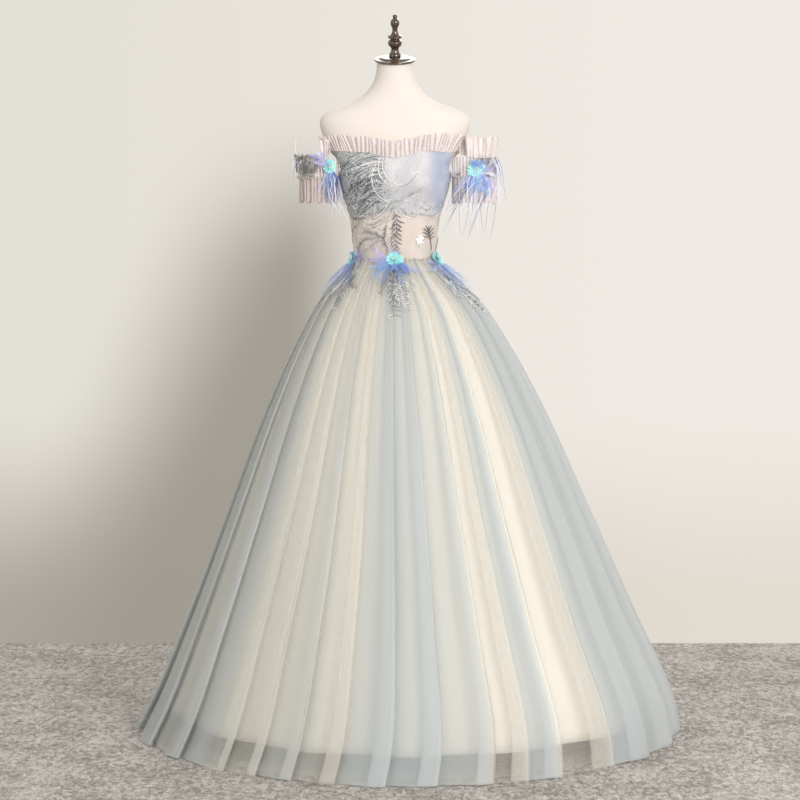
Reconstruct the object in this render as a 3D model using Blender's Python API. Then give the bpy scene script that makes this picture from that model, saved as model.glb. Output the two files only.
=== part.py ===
"""Off-the-shoulder ballroom gown standing on its limbless dress form.

Metres, +Z up, the front faces -Y, the floor is z = 0 and the pole stands on the Z axis.
Angles run from the front (0) round through +X (90) to the back (180), in degrees in the tables.
The form's surface is a stack of rounded sections. The bodice is that surface moved out,
the skirt is an oval that widens to the hem, with knife pleats folded into it.
"""
import math

import bmesh
import bpy
import numpy as np

# Driving sizes
SEAM = 0.0003            # gap between sewn pieces
CLOTH = 0.0011           # tulle and lining wall
FORM_GAP = 0.0024        # form to bodice
LACE = 0.0020            # bust wall
MESH = 0.0013            # midriff wall
NECK_TILT = math.tan(math.radians(14.0))
WAIST_Z = 1.100          # waist seam
LINING_HEM = 0.050
INNER_HEM = 0.006

# Form sections: height, half width, front depth, back depth, squareness
FORM = np.array([
    (0.815, 0.118, 0.084, 0.098, 2.20),
    (0.850, 0.146, 0.100, 0.120, 2.20),
    (0.915, 0.157, 0.107, 0.129, 2.20),
    (0.990, 0.136, 0.098, 0.110, 2.15),
    (1.050, 0.103, 0.083, 0.086, 2.10),
    (1.100, 0.0865, 0.0735, 0.0735, 2.05),
    (1.137, 0.0932, 0.0785, 0.0780, 2.05),
    (1.170, 0.0970, 0.0820, 0.0820, 2.10),
    (1.207, 0.1030, 0.0865, 0.0880, 2.15),
    (1.245, 0.1150, 0.0920, 0.0950, 2.20),
    (1.283, 0.1245, 0.0975, 0.1000, 2.30),
    (1.315, 0.1265, 0.0965, 0.1010, 2.30),
    (1.336, 0.1390, 0.0910, 0.0990, 2.25),
    (1.354, 0.1570, 0.0850, 0.0965, 2.20),
    (1.376, 0.1640, 0.0780, 0.0940, 2.20),
    (1.399, 0.1720, 0.0710, 0.0900, 2.20),
    (1.415, 0.1745, 0.0660, 0.0850, 2.20),
    (1.427, 0.1710, 0.0620, 0.0790, 2.15),
    (1.437, 0.1610, 0.0580, 0.0720, 2.10),
    (1.446, 0.1430, 0.0550, 0.0670, 2.05),
    (1.454, 0.1200, 0.0530, 0.0620, 2.00),
    (1.464, 0.0980, 0.0500, 0.0580, 2.00),
    (1.476, 0.0775, 0.0480, 0.0540, 2.00),
    (1.493, 0.0605, 0.0460, 0.0500, 2.00),
    (1.510, 0.0500, 0.0450, 0.0470, 2.00),
    (1.530, 0.0440, 0.0435, 0.0440, 2.00),
    (1.5575, 0.0415, 0.0415, 0.0415, 2.00),
])

# Skirt envelope over the fold crests: height, half width, half depth, offset along X
SKIRT = np.array([
    (0.000, 0.645, 0.645, 0.031),
    (0.055, 0.6255, 0.628, 0.040),
    (0.295, 0.5205, 0.524, 0.039),
    (0.533, 0.4200, 0.424, 0.032),
    (0.769, 0.3190, 0.320, 0.0234),
    (0.900, 0.2530, 0.250, 0.0170),
    (1.004, 0.1880, 0.180, 0.0105),
    (1.045, 0.1520, 0.142, 0.0060),
    (1.075, 0.1220, 0.110, 0.0030),
    (1.100, 0.1030, 0.0905, 0.0000),
    (1.120, 0.0990, 0.0875, 0.0000),
    (1.170, 0.0990, 0.0875, 0.0000),
])
SKIRT_ROWS = (1.100, 1.075, 1.010, 0.800, 0.400, 0.000)

# Angles of the crests of the outer pleats at the front, then round the back
CRESTS = (-84, -68, -54, -40, -32, -24, -15, -5, 5, 16, 23.3, 31, 44.6, 57, 70, 84,
          98, 111, 123, 137, 150, 163, 177, 190, 203, 216, 229, 243, 260)
PLEAT_LAP = 0.30         # underlay as a share of the narrower neighbour
INNER_FLUTES = 20
LINING_FLUTES = 14
PANEL_SEAMS = (-50.5, 40.5, 133.5, 219.5)

# Sleeves: side, centre X, centre Y, half width, half depth, band top, flounce seam, flounce hem
SLEEVES = (
    ("left", -0.1771, -0.004, 0.0460, 0.056, 1.338, 1.288, 1.232),
    ("right", 0.1826, -0.004, 0.0510, 0.058, 1.343, 1.290, 1.230),
)

PALETTE = {
    "form": (0.90, 0.84, 0.77, 1), "wood": (0.05, 0.03, 0.02, 1), "metal": (0.55, 0.55, 0.56, 1),
    "lace": (0.42, 0.46, 0.56, 1), "nude_mesh": (0.78, 0.62, 0.53, 1),
    "ruffle_tulle": (0.68, 0.58, 0.56, 1), "blue_tulle": (0.56, 0.62, 0.66, 1),
    "grey_tulle": (0.70, 0.72, 0.72, 1), "ivory_satin": (0.88, 0.83, 0.71, 1),
    "aqua_petals": (0.27, 0.77, 0.70, 1), "blue_feather": (0.20, 0.30, 0.72, 1),
    "silver_applique": (0.60, 0.60, 0.63, 1), "button_satin": (0.62, 0.62, 0.66, 1),
}


def smooth(z, table):
    """Cubic through the rows of a table whose first column is the place."""
    knots, values = table[:, 0], table[:, 1:]
    slopes = np.gradient(values, knots, axis=0)
    z = np.clip(np.asarray(z, float), knots[0], knots[-1])
    k = np.clip(np.searchsorted(knots, z, side="right") - 1, 0, len(knots) - 2)
    h = (knots[k + 1] - knots[k])[..., None]
    t = ((z - knots[k]) / (knots[k + 1] - knots[k]))[..., None]
    return ((1 + 2 * t) * (1 - t) ** 2 * values[k] + t * (1 - t) ** 2 * h * slopes[k]
            + t * t * (3 - 2 * t) * values[k + 1] + t * t * (t - 1) * h * slopes[k + 1])


def step(x):
    x = np.clip(x, 0, 1)
    return x * x * (3 - 2 * x)


def form_surface(angle, z):
    """Point of the form at an angle (radians) and height; two soft mounds make the bust."""
    angle, z = np.broadcast_arrays(np.asarray(angle, float), np.asarray(z, float))
    wide, front, back, square = np.moveaxis(smooth(z, FORM), -1, 0)
    s, c = np.sin(angle), np.cos(angle)
    x = wide * np.sign(s) * np.abs(s) ** (2 / square)
    depth = np.where(c > 0, front, back)
    y = -depth * np.sign(c) * np.abs(c) ** (2 / square)
    mound = np.exp(-((np.abs(x) - 0.058) / 0.044) ** 2 - ((z - 1.279) / 0.044) ** 2)
    y = y - 0.017 * mound * step(c * 2)
    tilt = NECK_TILT * step((z - 1.510) / 0.0475)
    return np.stack([x, y, z + tilt * y], -1)


def skirt_surface(angle, z):
    """Point of the skirt's envelope at an angle and height."""
    angle, z = np.broadcast_arrays(np.asarray(angle, float), np.asarray(z, float))
    wide, deep, shift = np.moveaxis(smooth(z, SKIRT), -1, 0)
    return np.stack([shift + wide * np.sin(angle), -deep * np.cos(angle), z], -1)


def moved_out(surface, angle, z, far):
    """The surface moved along its normal by far."""
    e = 1e-4
    da = surface(angle + e, z) - surface(angle - e, z)
    dz = surface(angle, z + e) - surface(angle, z - e)
    n = np.cross(da, dz)
    n /= np.linalg.norm(n, axis=-1, keepdims=True)
    return surface(angle, z) + np.asarray(far, float)[..., None] * n


def solid(name, points, faces, colour, rounded=True):
    """One closed body with outward faces and its own material."""
    mesh = bpy.data.meshes.new(name)
    mesh.from_pydata([tuple(p) for p in points], [], faces)
    body = bmesh.new()
    body.from_mesh(mesh)
    bmesh.ops.recalc_face_normals(body, faces=body.faces)
    body.to_mesh(mesh)
    body.free()
    for face in mesh.polygons:
        face.use_smooth = rounded
    paint = bpy.data.materials.new(name + "_" + colour)
    paint.use_nodes = True
    shader = paint.node_tree.nodes["Principled BSDF"]
    shader.inputs["Base Color"].default_value = PALETTE[colour]
    shader.inputs["Roughness"].default_value = 0.25 if colour in ("wood", "metal") else 0.75
    mesh.materials.append(paint)
    made = bpy.data.objects.new(name, mesh)
    bpy.context.scene.collection.objects.link(made)
    return made


def wall(name, outer, inner, colour, ring=False):
    """Cloth wall between two grids of the same shape, rows by columns."""
    rows, cols = outer.shape[:2]
    under = rows * cols
    faces = []
    for c in range(cols if ring else cols - 1):
        d = (c + 1) % cols
        for r in range(rows - 1):
            p, q, m, n = r * cols + c, r * cols + d, (r + 1) * cols + d, (r + 1) * cols + c
            for tri in ((p, q, m), (p, m, n)):
                faces += [tri, tuple(under + i for i in reversed(tri))]
        last = (rows - 1) * cols
        faces += [(c, under + c, under + d, d),
                  (last + d, under + last + d, under + last + c, last + c)]
    if not ring:
        for r in range(rows - 1):
            a, b = r * cols, (r + 1) * cols
            faces += [(a, b, under + b, under + a),
                      (a + cols - 1, under + a + cols - 1, under + b + cols - 1, b + cols - 1)]
    points = np.concatenate([outer.reshape(-1, 3), inner.reshape(-1, 3)])
    return solid(name, points, faces, colour)


def inset(rows, thick, ring=False):
    """Rows of a folded wall moved in level by thick, mitred at each corner."""
    flat = rows[..., :2]
    if ring:
        ahead, behind = np.roll(flat, -1, 1) - flat, flat - np.roll(flat, 1, 1)
    else:
        run = np.diff(flat, axis=1)
        ahead = np.concatenate([run, run[:, -1:]], 1)
        behind = np.concatenate([run[:, :1], run], 1)
    out = []
    for d in (ahead, behind):
        d = d / np.linalg.norm(d, axis=-1, keepdims=True)
        out.append(np.stack([d[..., 1], -d[..., 0]], -1))
    share = np.maximum(1 + (out[0] * out[1]).sum(-1, keepdims=True), 0.45)
    moved = rows.copy()
    moved[..., :2] -= np.reshape(thick, (-1, 1, 1)) * (out[0] + out[1]) / share
    return moved


def turned(name, profile, sides, colour, centre=(0, 0, 0), tilt=0.0):
    """Body of revolution from (radius, height) rows, closed on its axis, leaned forward by tilt."""
    ang = np.arange(sides) * 2 * math.pi / sides
    ring = [np.stack([r * np.cos(ang), r * np.sin(ang), np.full(sides, z)], -1)
            for r, z in profile]
    points = np.concatenate(ring + [np.array([(0, 0, profile[0][1]), (0, 0, profile[-1][1])])])
    c, s = math.cos(tilt), math.sin(tilt)
    lean = np.array([(1, 0, 0), (0, c, -s), (0, s, c)])
    points = points @ lean.T + np.array(centre)
    faces = []
    for k in range(sides):
        n = (k + 1) % sides
        faces += [(len(points) - 2, n, k)]
        for r in range(len(profile) - 1):
            faces.append((r * sides + k, r * sides + n, (r + 1) * sides + n, (r + 1) * sides + k))
        top = (len(profile) - 1) * sides
        faces.append((len(points) - 1, top + k, top + n))
    return solid(name, points, faces, colour)


def form_and_stand():
    """Padded form without limbs, turned neck cap and finial, pole and round foot."""
    cols = 32
    ang = np.arange(cols) * 2 * math.pi / cols
    heights = np.sort(np.append(FORM[:, 0], (1.226, 1.264, 1.299)))
    rings = form_surface(ang[None, :], heights[:, None])
    n = len(heights)
    faces = [tuple(range(cols)), tuple(range((n - 1) * cols, n * cols))]
    for r in range(n - 1):
        for c in range(cols):
            d = (c + 1) % cols
            faces.append((r * cols + c, r * cols + d, (r + 1) * cols + d, (r + 1) * cols + c))
    solid("form_torso", rings.reshape(-1, 3), faces, "form")
    lean = math.atan(NECK_TILT)
    turned("neck_cap", [(0.0465, 0), (0.0480, 0.002), (0.0465, 0.0045), (0.0370, 0.0060),
                        (0.0340, 0.0085), (0.0180, 0.0105)],
           24, "wood", (0, 0, 1.5575 + SEAM), lean)
    seat = 0.0105 + SEAM
    turned("finial", [(0.0139, 0), (0.0139, 0.005), (0.0100, 0.013), (0.0092, 0.019),
                      (0.0155, 0.027), (0.0163, 0.034), (0.0115, 0.040), (0.0170, 0.045),
                      (0.0080, 0.053), (0.0066, 0.064), (0.0100, 0.074), (0.0100, 0.081),
                      (0.0040, 0.088), (0.0058, 0.0925), (0.0040, 0.0975)],
           12, "wood", (0, -seat * math.sin(lean), 1.5575 + SEAM + seat * math.cos(lean)), lean)
    turned("stand_base", [(0.165, 0), (0.168, 0.005), (0.160, 0.012), (0.060, 0.022),
                          (0.024, 0.032), (0.021, 0.046)], 28, "metal")
    turned("stand_pole", [(0.0135, 0.046 + SEAM), (0.0135, 0.815 - SEAM)], 14, "metal")


def frame_at(surface, angle, z, far):
    """Point off a surface with its directions across, up and out."""
    angle, z, e = np.array(float(angle)), np.array(float(z)), 1e-4
    base = surface(angle, z)
    across = surface(angle + e, z) - surface(angle - e, z)
    across /= np.linalg.norm(across)
    out = moved_out(surface, angle, z, 1.0) - base
    return base + out * far, across, np.cross(out, across), out


def rosette(name, at, across, up, out, sides, rings, top, colour):
    """Flat-backed dome from rows of radius, height and how much every second point is drawn in."""
    pts = []
    for radius, high, notch in rings:
        for k in range(sides):
            g, r = 2 * math.pi * k / sides, radius * (1 - notch * (k % 2))
            pts.append(at + across * r * math.cos(g) + up * r * math.sin(g) + out * high)
    n = len(rings) - 1
    pts += [at + out * rings[0][1], at + out * top]
    faces = [(len(pts) - 2, (k + 1) % sides, k) for k in range(sides)]
    faces += [(len(pts) - 1, n * sides + k, n * sides + (k + 1) % sides) for k in range(sides)]
    faces += [(r * sides + k, r * sides + (k + 1) % sides,
               (r + 1) * sides + (k + 1) % sides, (r + 1) * sides + k)
              for r in range(n) for k in range(sides)]
    solid(name, np.array(pts), faces, colour)


def bodice_top(a):
    """Height of the bodice's upper edge: a dip at the front, low under the arms, level behind."""
    side = np.abs(np.degrees(np.arctan2(np.sin(a), np.cos(a))))
    return np.interp(side, (0, 12, 30, 52, 66, 78, 100, 118, 140, 180),
                     (1.337, 1.345, 1.352, 1.350, 1.338, 1.302, 1.302, 1.325, 1.335, 1.332))


def bodice_under(a):
    """Height of the seam between the bust lace and the sheer midriff, softly scalloped."""
    return 1.2080 + 0.0055 * np.cos(4 * a) + 0.0025 * np.cos(9 * a + 0.6)


def bodice():
    """Lace bust and sheer midriff, front and two backs each, met at side and centre-back seams."""
    pieces = (("front", -90, 90, 16), ("back_right", 90, 180, 8), ("back_left", 180, 270, 8))
    for side, start, end, cols in pieces:
        trim = SEAM / 2 / 0.095
        a = np.linspace(math.radians(start) + trim, math.radians(end) - trim, cols + 1)
        for part, rows, thick, colour in (("bust", 8, LACE, "lace"),
                                          ("midriff", 6, MESH, "nude_mesh")):
            t = np.linspace(0, 1, rows)[:, None]
            if part == "bust":
                low, high = bodice_under(a) + 0.8 * SEAM, bodice_top(a)
            else:
                low, high = np.full_like(a, WAIST_Z + SEAM), bodice_under(a) - SEAM / 2
            z = low + t * (high - low)
            grid = [moved_out(form_surface, a + 0 * z, z, np.full_like(z, FORM_GAP + far))
                    for far in (thick, 0)]
            wall(part + "_" + side, grid[0], grid[1], colour)
    for k in range(7):
        z = 1.127 + 0.0295 * k
        thick = MESH if z < 1.200 else LACE
        at, across, up, out = frame_at(form_surface, math.pi, z, FORM_GAP + thick + 2 * SEAM)
        rosette("button_%d" % (k + 1), at, across, up, out, 8,
                [(0.0055, 0.0, 0), (0.0052, 0.0018, 0), (0.0028, 0.0034, 0)], 0.0039,
                "button_satin")


def frill(name, path, low, high, pleats, base_fold, edge_fold, lean, ring=False):
    """Finely pleated strip: path(share) gives its line, fold heights and lean are level moves out."""
    cols = 2 * pleats if ring else 2 * pleats + 1
    share = np.arange(cols) / (cols if ring else cols - 1)
    swing = np.where(np.arange(cols) % 2 == 0, -1.0, 1.0)
    wander = np.sin(share * 29 + 1) * 0.25
    rows = []
    for height, fold, out in ((low, base_fold, 0.0), (high, edge_fold, lean)):
        at, normal = path(share, height)
        z = height(share) + (0 if height is low else 0.0012 * np.sin(share * 61))
        level = at + normal * (out * (1 + wander) + swing * fold)[:, None]
        rows.append(np.concatenate([level, z[:, None]], 1))
    outer = np.array(rows)
    wall(name, outer, inset(outer, CLOTH, ring), "ruffle_tulle", ring)


def table_line(rows):
    rows = np.array(rows, float)
    return lambda share: np.interp(share, rows[:, 0], rows[:, 1])


def neck_ruffle():
    """Pleated ruffle along the neckline: front and back, then over each sleeve."""
    def across(start, end, away, height):
        def path(share, level):
            a = np.radians(start + (end - start) * share)
            p, q = (moved_out(form_surface, a, h(share), np.full_like(a, away))[:, :2]
                    for h in (height, level))
            wider = np.hypot(*q.T) > np.hypot(*p.T)
            p = np.where(wider[:, None], q, p)
            d = np.gradient(p, axis=0)
            d /= np.linalg.norm(d, axis=1, keepdims=True)
            return p, np.stack([d[:, 1], -d[:, 0]], 1)
        return path
    low = table_line([(0, 1.350), (0.16, 1.350), (0.36, 1.346), (0.50, 1.333), (0.64, 1.352),
                      (0.82, 1.346), (1, 1.352)])
    high = table_line([(0, 1.380), (0.20, 1.387), (0.40, 1.379), (0.50, 1.368), (0.58, 1.380),
                       (0.74, 1.392), (0.90, 1.383), (1, 1.384)])
    frill("ruffle_front", across(-74, 74, 0.0086, low), low, high, 42, 0.0016, 0.0026, 0.009)
    low = table_line([(0, 1.352), (0.25, 1.333), (0.5, 1.328), (0.75, 1.333), (1, 1.350)])
    high = table_line([(0, 1.384), (0.25, 1.374), (0.5, 1.370), (0.75, 1.374), (1, 1.380)])
    frill("ruffle_back", across(106, 254, 0.0076, low), low, high, 36, 0.0016, 0.0026, 0.009)


def sleeve_path(side, cx, cy, wide, deep, away, start=0.0, end=360.0):
    def path(share, level):
        a = np.radians(start + (end - start) * share)
        p = np.stack([cx + (wide + away) * np.sin(a), cy - (deep + away) * np.cos(a)], 1)
        n = np.stack([np.sin(a) / wide, -np.cos(a) / deep], 1)
        return p, n / np.linalg.norm(n, axis=1, keepdims=True)
    return path


def sleeves():
    """Short dropped sleeves: a mesh band, a pleated flounce below and a ruffle round the top."""
    for side, cx, cy, wide, deep, top, seam, hem in SLEEVES:
        inward = 90 if side == "left" else -90
        cols = 22
        a = np.arange(cols) * 2 * math.pi / cols
        turn = np.abs(np.degrees(np.angle(np.exp(1j * (a - math.radians(inward))))))
        high = 1.301 + (top - 1.301) * step((turn - 40) / 55)
        t = np.linspace(0, 1, 3)[:, None]
        z = seam + SEAM + t * (high - seam - SEAM)
        puff = 0.0025 * np.sin(math.pi * t) + 0.0010 * np.sin(6 * a)
        outer = np.stack([cx + (wide + puff) * np.sin(a), cy - (deep + puff) * np.cos(a), z], -1)
        wall("sleeve_%s_band" % side, outer, inset(outer, CLOTH, True), "nude_mesh", True)
        flat = sleeve_path(side, cx, cy, wide, deep, -0.0012)
        lines = [table_line([(0, h), (1, h)]) for h in (hem, seam)]
        frill("sleeve_%s_flounce" % side, flat, lines[1], lines[0], 27, 0.0011, 0.0021, 0.0, True)
        low, high = (1.300, 1.340) if side == "left" else (1.334, 1.380)
        start, end, away = (-156, -2, 0.0055) if side == "left" else (2, 156, 0.0044)
        frill("sleeve_%s_ruffle" % side,
              sleeve_path(side, cx, cy, wide, deep, away, start, end),
              table_line([(0, low), (1, low)]), table_line([(0, high), (1, high)]),
              17, 0.0014, 0.0024, 0.004)


def pleat_rows(heights, panel):
    """Outer pleats of one panel: each face climbs from its valley to a crest and tucks back."""
    crests = np.array(CRESTS, float)
    wide = np.diff(np.append(crests, crests[0] + 360))        # to the next crest
    before = np.roll(wide, 1)
    cols = []                                                  # angle, lap, gap share, drop share
    for e, w0, w1 in zip(crests, before, wide):
        lap, next_lap = PLEAT_LAP * min(w0, w1), 0.45 * w1
        cols += [(e, 0.0, 0, 0), (e, 0.0, 1, 0), (e - lap, 0.0, 1, 1), (e - lap, 0.0, 2, 1),
                 (e + next_lap, 0.0, 0.4, 0.2)]
    cols = np.array(cols)
    start, end = panel
    cols = np.concatenate([cols - (360, 0, 0, 0), cols, cols + (360, 0, 0, 0)])
    first, last = (4 + 5 * int(np.argmin(np.abs(cols[4::5, 0] - place)))
                   for place in (start, end))
    rows, levels, normals = [], [], []
    for z in heights:
        wide_z, deep_z, shift = smooth(np.array(z), SKIRT)
        level = level_thickness(z)
        grow = (1 - z / WAIST_Z)
        gap = 2 * level + 0.0006 + 0.0075 * grow
        drop = 0.0008 + 0.0085 * grow
        pick = cols[first:last + 1]
        a = np.radians(pick[:, 0])
        depth = pick[:, 2] * gap + pick[:, 3] * drop
        trim = SEAM / 2 / wide_z
        a[0], a[-1] = math.radians(cols[first, 0]) + trim, math.radians(cols[last, 0]) - trim
        p = skirt_surface(a, np.full_like(a, z))
        n = np.stack([np.sin(a) / wide_z, -np.cos(a) / deep_z], 1)
        n /= np.linalg.norm(n, axis=1, keepdims=True)
        p[:, :2] -= n * depth[:, None]
        rows.append(p)
        levels.append(level)
        normals.append(n)
    return panel_walls(rows, levels, normals, 0.0)


def panel_walls(rows, levels, normals, hem):
    """Outer and inner grids of a skirt panel: square ends at its seams, last row cut at the hem."""
    outer = np.array(rows)
    inner = inset(outer, np.array(levels))
    for c in (0, -1):
        across = np.array([n[c] for n in normals])
        inner[:, c, :2] = outer[:, c, :2] - across * np.array(levels)[:, None]
    for grid in (outer, inner):
        t = (grid[-2, 0, 2] - hem) / (grid[-2, 0, 2] - grid[-1, 0, 2])
        grid[-1] = grid[-2] + t * (grid[-1] - grid[-2])
    return outer, inner


def level_thickness(z):
    """Level thickness that keeps the cloth's own thickness on the slope."""
    return CLOTH * math.hypot(1, abs(float(skirt_slope(z))))


def skirt_slope(z):
    e = 0.004
    high, low = smooth(np.array([min(z + e, WAIST_Z), max(z - e, 0)]), SKIRT)[:, 0]
    return (high - low) / (min(z + e, WAIST_Z) - max(z - e, 0))


def fluted_rows(heights, start, end, flutes, back, swing, cols, hem):
    """Soft rounded flutes of an under layer, back metres inside the envelope."""
    rows, levels, normals = [], [], []
    for z in heights:
        wide_z, deep_z, shift = smooth(np.array(z), SKIRT)
        trim = SEAM / 2 / (wide_z - back(z))
        a = np.linspace(math.radians(start) + trim, math.radians(end) - trim, cols + 1)
        p = skirt_surface(a, np.full_like(a, z))
        n = np.stack([np.sin(a) / wide_z, -np.cos(a) / deep_z], 1)
        n /= np.linalg.norm(n, axis=1, keepdims=True)
        wave = 1 - np.cos(flutes * a + 0.5 * np.sin(3 * a))
        p[:, :2] -= n * (back(z) + swing(z) * wave)[:, None]
        rows.append(p)
        levels.append(level_thickness(z))
        normals.append(n)
    return panel_walls(rows, levels, normals, hem)


def outer_depth(z):
    """Depth from the envelope to the inside of the outer tulle."""
    grow = 1 - z / WAIST_Z
    level = level_thickness(z)
    return 2 * (2 * level + 0.0006 + 0.0075 * grow) + 0.0008 + 0.0085 * grow + level


def inner_back(z):
    return outer_depth(z) + 0.0012 + 0.003 * (1 - z / WAIST_Z)


def inner_swing(z):
    return 0.0002 + 0.0085 * step((WAIST_Z - z) / WAIST_Z * 1.2)


def lining_back(z):
    level = level_thickness(z)
    return inner_back(z) + 2 * inner_swing(z) + level + 0.0008 + 0.002 * (1 - z / WAIST_Z)


def lining_swing(z):
    return 0.0001 + 0.0090 * step((WAIST_Z - z) / WAIST_Z * 1.2)


def skirt():
    """Pleated outer tulle, fluted inner tulle and satin lining, four panels each."""
    names = ("front", "right", "back", "left")
    for k, name in enumerate(names):
        start, end = PANEL_SEAMS[k], PANEL_SEAMS[(k + 1) % 4] + (360 if k == 3 else 0)
        wall("tulle_" + name, *pleat_rows(SKIRT_ROWS, (start, end)), "blue_tulle")
    for k, name in enumerate(names):
        start, end = 45 + 90 * (k - 1), 45 + 90 * k
        wall("under_tulle_" + name,
             *fluted_rows(SKIRT_ROWS, start, end, INNER_FLUTES, inner_back, inner_swing, 20,
                          INNER_HEM), "grey_tulle")
        start, end = start + 12, end + 12
        wall("lining_" + name,
             *fluted_rows(SKIRT_ROWS, start, end, LINING_FLUTES, lining_back, lining_swing, 16,
                          LINING_HEM), "ivory_satin")


def laid(surface, angle, z):
    """Map from metres across and down a surface, and off it, to points."""
    e = 1e-4
    a0, z0 = np.array(math.radians(angle)), np.array(float(z))
    wide = np.linalg.norm(surface(a0 + e, z0) - surface(a0 - e, z0)) / (2 * e)
    tall = np.linalg.norm(surface(a0, z0) - surface(a0, z0 - e)) / e
    return lambda p: moved_out(surface, a0 + p[:, 0] / wide, z0 - p[:, 1] / tall, p[:, 2])


def tuft(name, place, width, low, high, down, up, rise):
    """Feather tuft: a narrow backing strip and tapered four-sided locks that fan from its rims.

    down and up hold: number of locks, first and last heading in degrees, shortest, longest.
    """
    locks = max(down[0], up[0])
    cols = 2 * locks + 1
    u = (np.arange(cols + 1) / cols - 0.5) * width
    pts = [(x, v, o) for x in u for v, o in ((0, low), (0.004, low), (0.004, high), (0, high))]
    faces = [(0, 1, 2, 3), tuple(4 * cols + i for i in (3, 2, 1, 0))]
    for c in range(cols):
        a, b = 4 * c, 4 * c + 4
        faces += [(a, b, b + 1, a + 1), (a + 2, b + 2, b + 3, a + 3)]
        for root, (count, first, last, short, long), way in (
                ((a + 1, b + 1, b + 2, a + 2), down, 1), ((a + 3, b + 3, b, a), up, -1)):
            k = (c - 1) // 2
            if c % 2 == 0 or k >= count:
                faces.append(root)
                continue
            head = math.radians(first + (last - first) * (k + 0.5) / count)
            reach = short + (long - short) * (0.5 + 0.5 * math.sin(2.4 * k + 5 * width * 100))
            mid_u, root_v = (u[c] + u[c + 1]) / 2, 0.004 if way > 0 else 0.0
            n = len(pts)
            half = 0.42 * (2 * width / cols) * math.cos(head)
            for step_along, size in ((0.5, 1.0),):
                du, dv = math.sin(head) * reach * step_along, math.cos(head) * reach * step_along
                cu, cv = half * size * math.cos(head), -half * size * math.sin(head)
                for s1, o in ((-1, low), (1, low), (1, high), (-1, high)):
                    lift = rise * step_along * (1 if way > 0 else 0.4)
                    pts.append((mid_u + du + s1 * cu, root_v + way * (dv + s1 * cv), o + lift))
            bend = head * 1.15
            pts.append((mid_u + math.sin(bend) * reach, root_v + way * math.cos(bend) * reach,
                        (low + high) / 2 + rise * (1 if way > 0 else 0.4)))
            order = (0, 1, 2, 3) if way > 0 else (3, 2, 1, 0)
            ring = [n + i for i in order]
            for i in range(4):
                j = (i + 1) % 4
                faces.append((root[i], root[j], ring[j], ring[i]))
                faces.append((ring[i], ring[j], n + 4))
    solid(name, place(np.array(pts)), faces, "blue_feather")


def spray(name, place, path, width, low, high):
    """Thin pointed applique laid over the folds: path(t) gives its middle line."""
    rows = 9
    grids = []
    for off in (high, low):
        grid = []
        for t in np.linspace(0, 1, rows):
            half = width * (0.12 + 0.88 * math.sin(math.pi * min(1, 0.10 + 0.86 * t)) ** 0.8)
            x, y = path(t)
            grid.append([(x + s * half, y + 0.002 * abs(s), off) for s in (-1, 0, 1)])
        grids.append(np.array(grid))
    outer, inner = (place(g.reshape(-1, 3)).reshape(rows, 3, 3) for g in grids)
    wall(name, outer, inner, "silver_applique")


def petals(name, place, radius, low):
    """Petal cluster that follows the surface below it."""
    sides, pts = 12, []
    rings = ((radius, low, 0.30), (radius, low + 0.0016, 0.30), (0.55 * radius, low + 0.0055, 0.1))
    for r, off, notch in rings:
        for k in range(sides):
            g, q = 2 * math.pi * k / sides, r * (1 - notch * (k % 2))
            pts.append((q * math.cos(g), q * math.sin(g), off))
    pts += [(0, 0, low), (0, 0, low + 0.0075)]
    faces = []
    for k in range(sides):
        n = (k + 1) % sides
        faces += [(36, n, k), (37, 24 + k, 24 + n)]
        faces += [tri for r in (0, 12) for tri in ((r + k, r + n, r + 12 + n),
                                                   (r + k, r + 12 + n, r + 12 + k))]
    solid(name, place(np.array(pts)), faces, "aqua_petals")


def trims():
    """Petal clusters over feather tufts at the waist and sleeves, sprays below the waist."""
    for name, angle, z, width, down, up, radius in (
            ("left", -66, 1.0975, 0.022, (8, -46, 40, 0.045, 0.100), (5, -60, 60, 0.012, 0.030),
             0.0185),
            ("centre", 0, 1.1020, 0.026, (9, -52, 52, 0.030, 0.060), (7, -62, 62, 0.014, 0.034),
             0.0205),
            ("right", 66, 1.0955, 0.024, (8, -40, 46, 0.045, 0.095), (5, -60, 60, 0.012, 0.030),
             0.0205)):
        tuft("feathers_waist_" + name, laid(skirt_surface, angle, z), width, 0.0014, 0.0026,
             down, up, 0.006)
        petals("flower_waist_" + name, laid(skirt_surface, angle, 1.101), radius,
               0.0060 if name == "centre" else 0.0050)
    for name, angle, z, tall, sway, width in (("left", -57, 1.078, 0.115, 0.020, 0.008),
                                              ("centre", -1, 1.082, 0.150, -0.004, 0.011),
                                              ("right", 55, 1.078, 0.135, 0.012, 0.010)):
        spray("spray_" + name, laid(skirt_surface, angle, z),
              lambda t: (sway * t * t, tall * t), width, 0.0008, 0.0018)
    for (side, cx, cy, wide, deep, top, seam, hem), angle, down, up, radius in zip(
            SLEEVES, (30, 6), ((9, -48, 6, 0.045, 0.085), (9, -44, 22, 0.060, 0.118)),
            ((6, -66, 20, 0.008, 0.016), (7, -60, 60, 0.010, 0.022)), (0.0145, 0.0210)):
        def tube(a, z):
            return np.stack(np.broadcast_arrays(cx + (wide + 0.0035) * np.sin(a),
                                                cy - (deep + 0.0035) * np.cos(a), z), -1)
        z, lift = (1.312, 0.0004) if side == "left" else (1.304, -0.0009)
        tuft("feathers_sleeve_" + side, laid(tube, angle, z), 0.026, lift, lift + 0.0012,
             down, up, 0.008)
        petals("flower_sleeve_" + side, laid(tube, angle, z), radius, lift + 0.0044)


def clear_scene():
    for thing in list(bpy.data.objects):
        bpy.data.objects.remove(thing, do_unlink=True)


clear_scene()
form_and_stand()
bodice()
neck_ruffle()
sleeves()
skirt()
trims()
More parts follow.
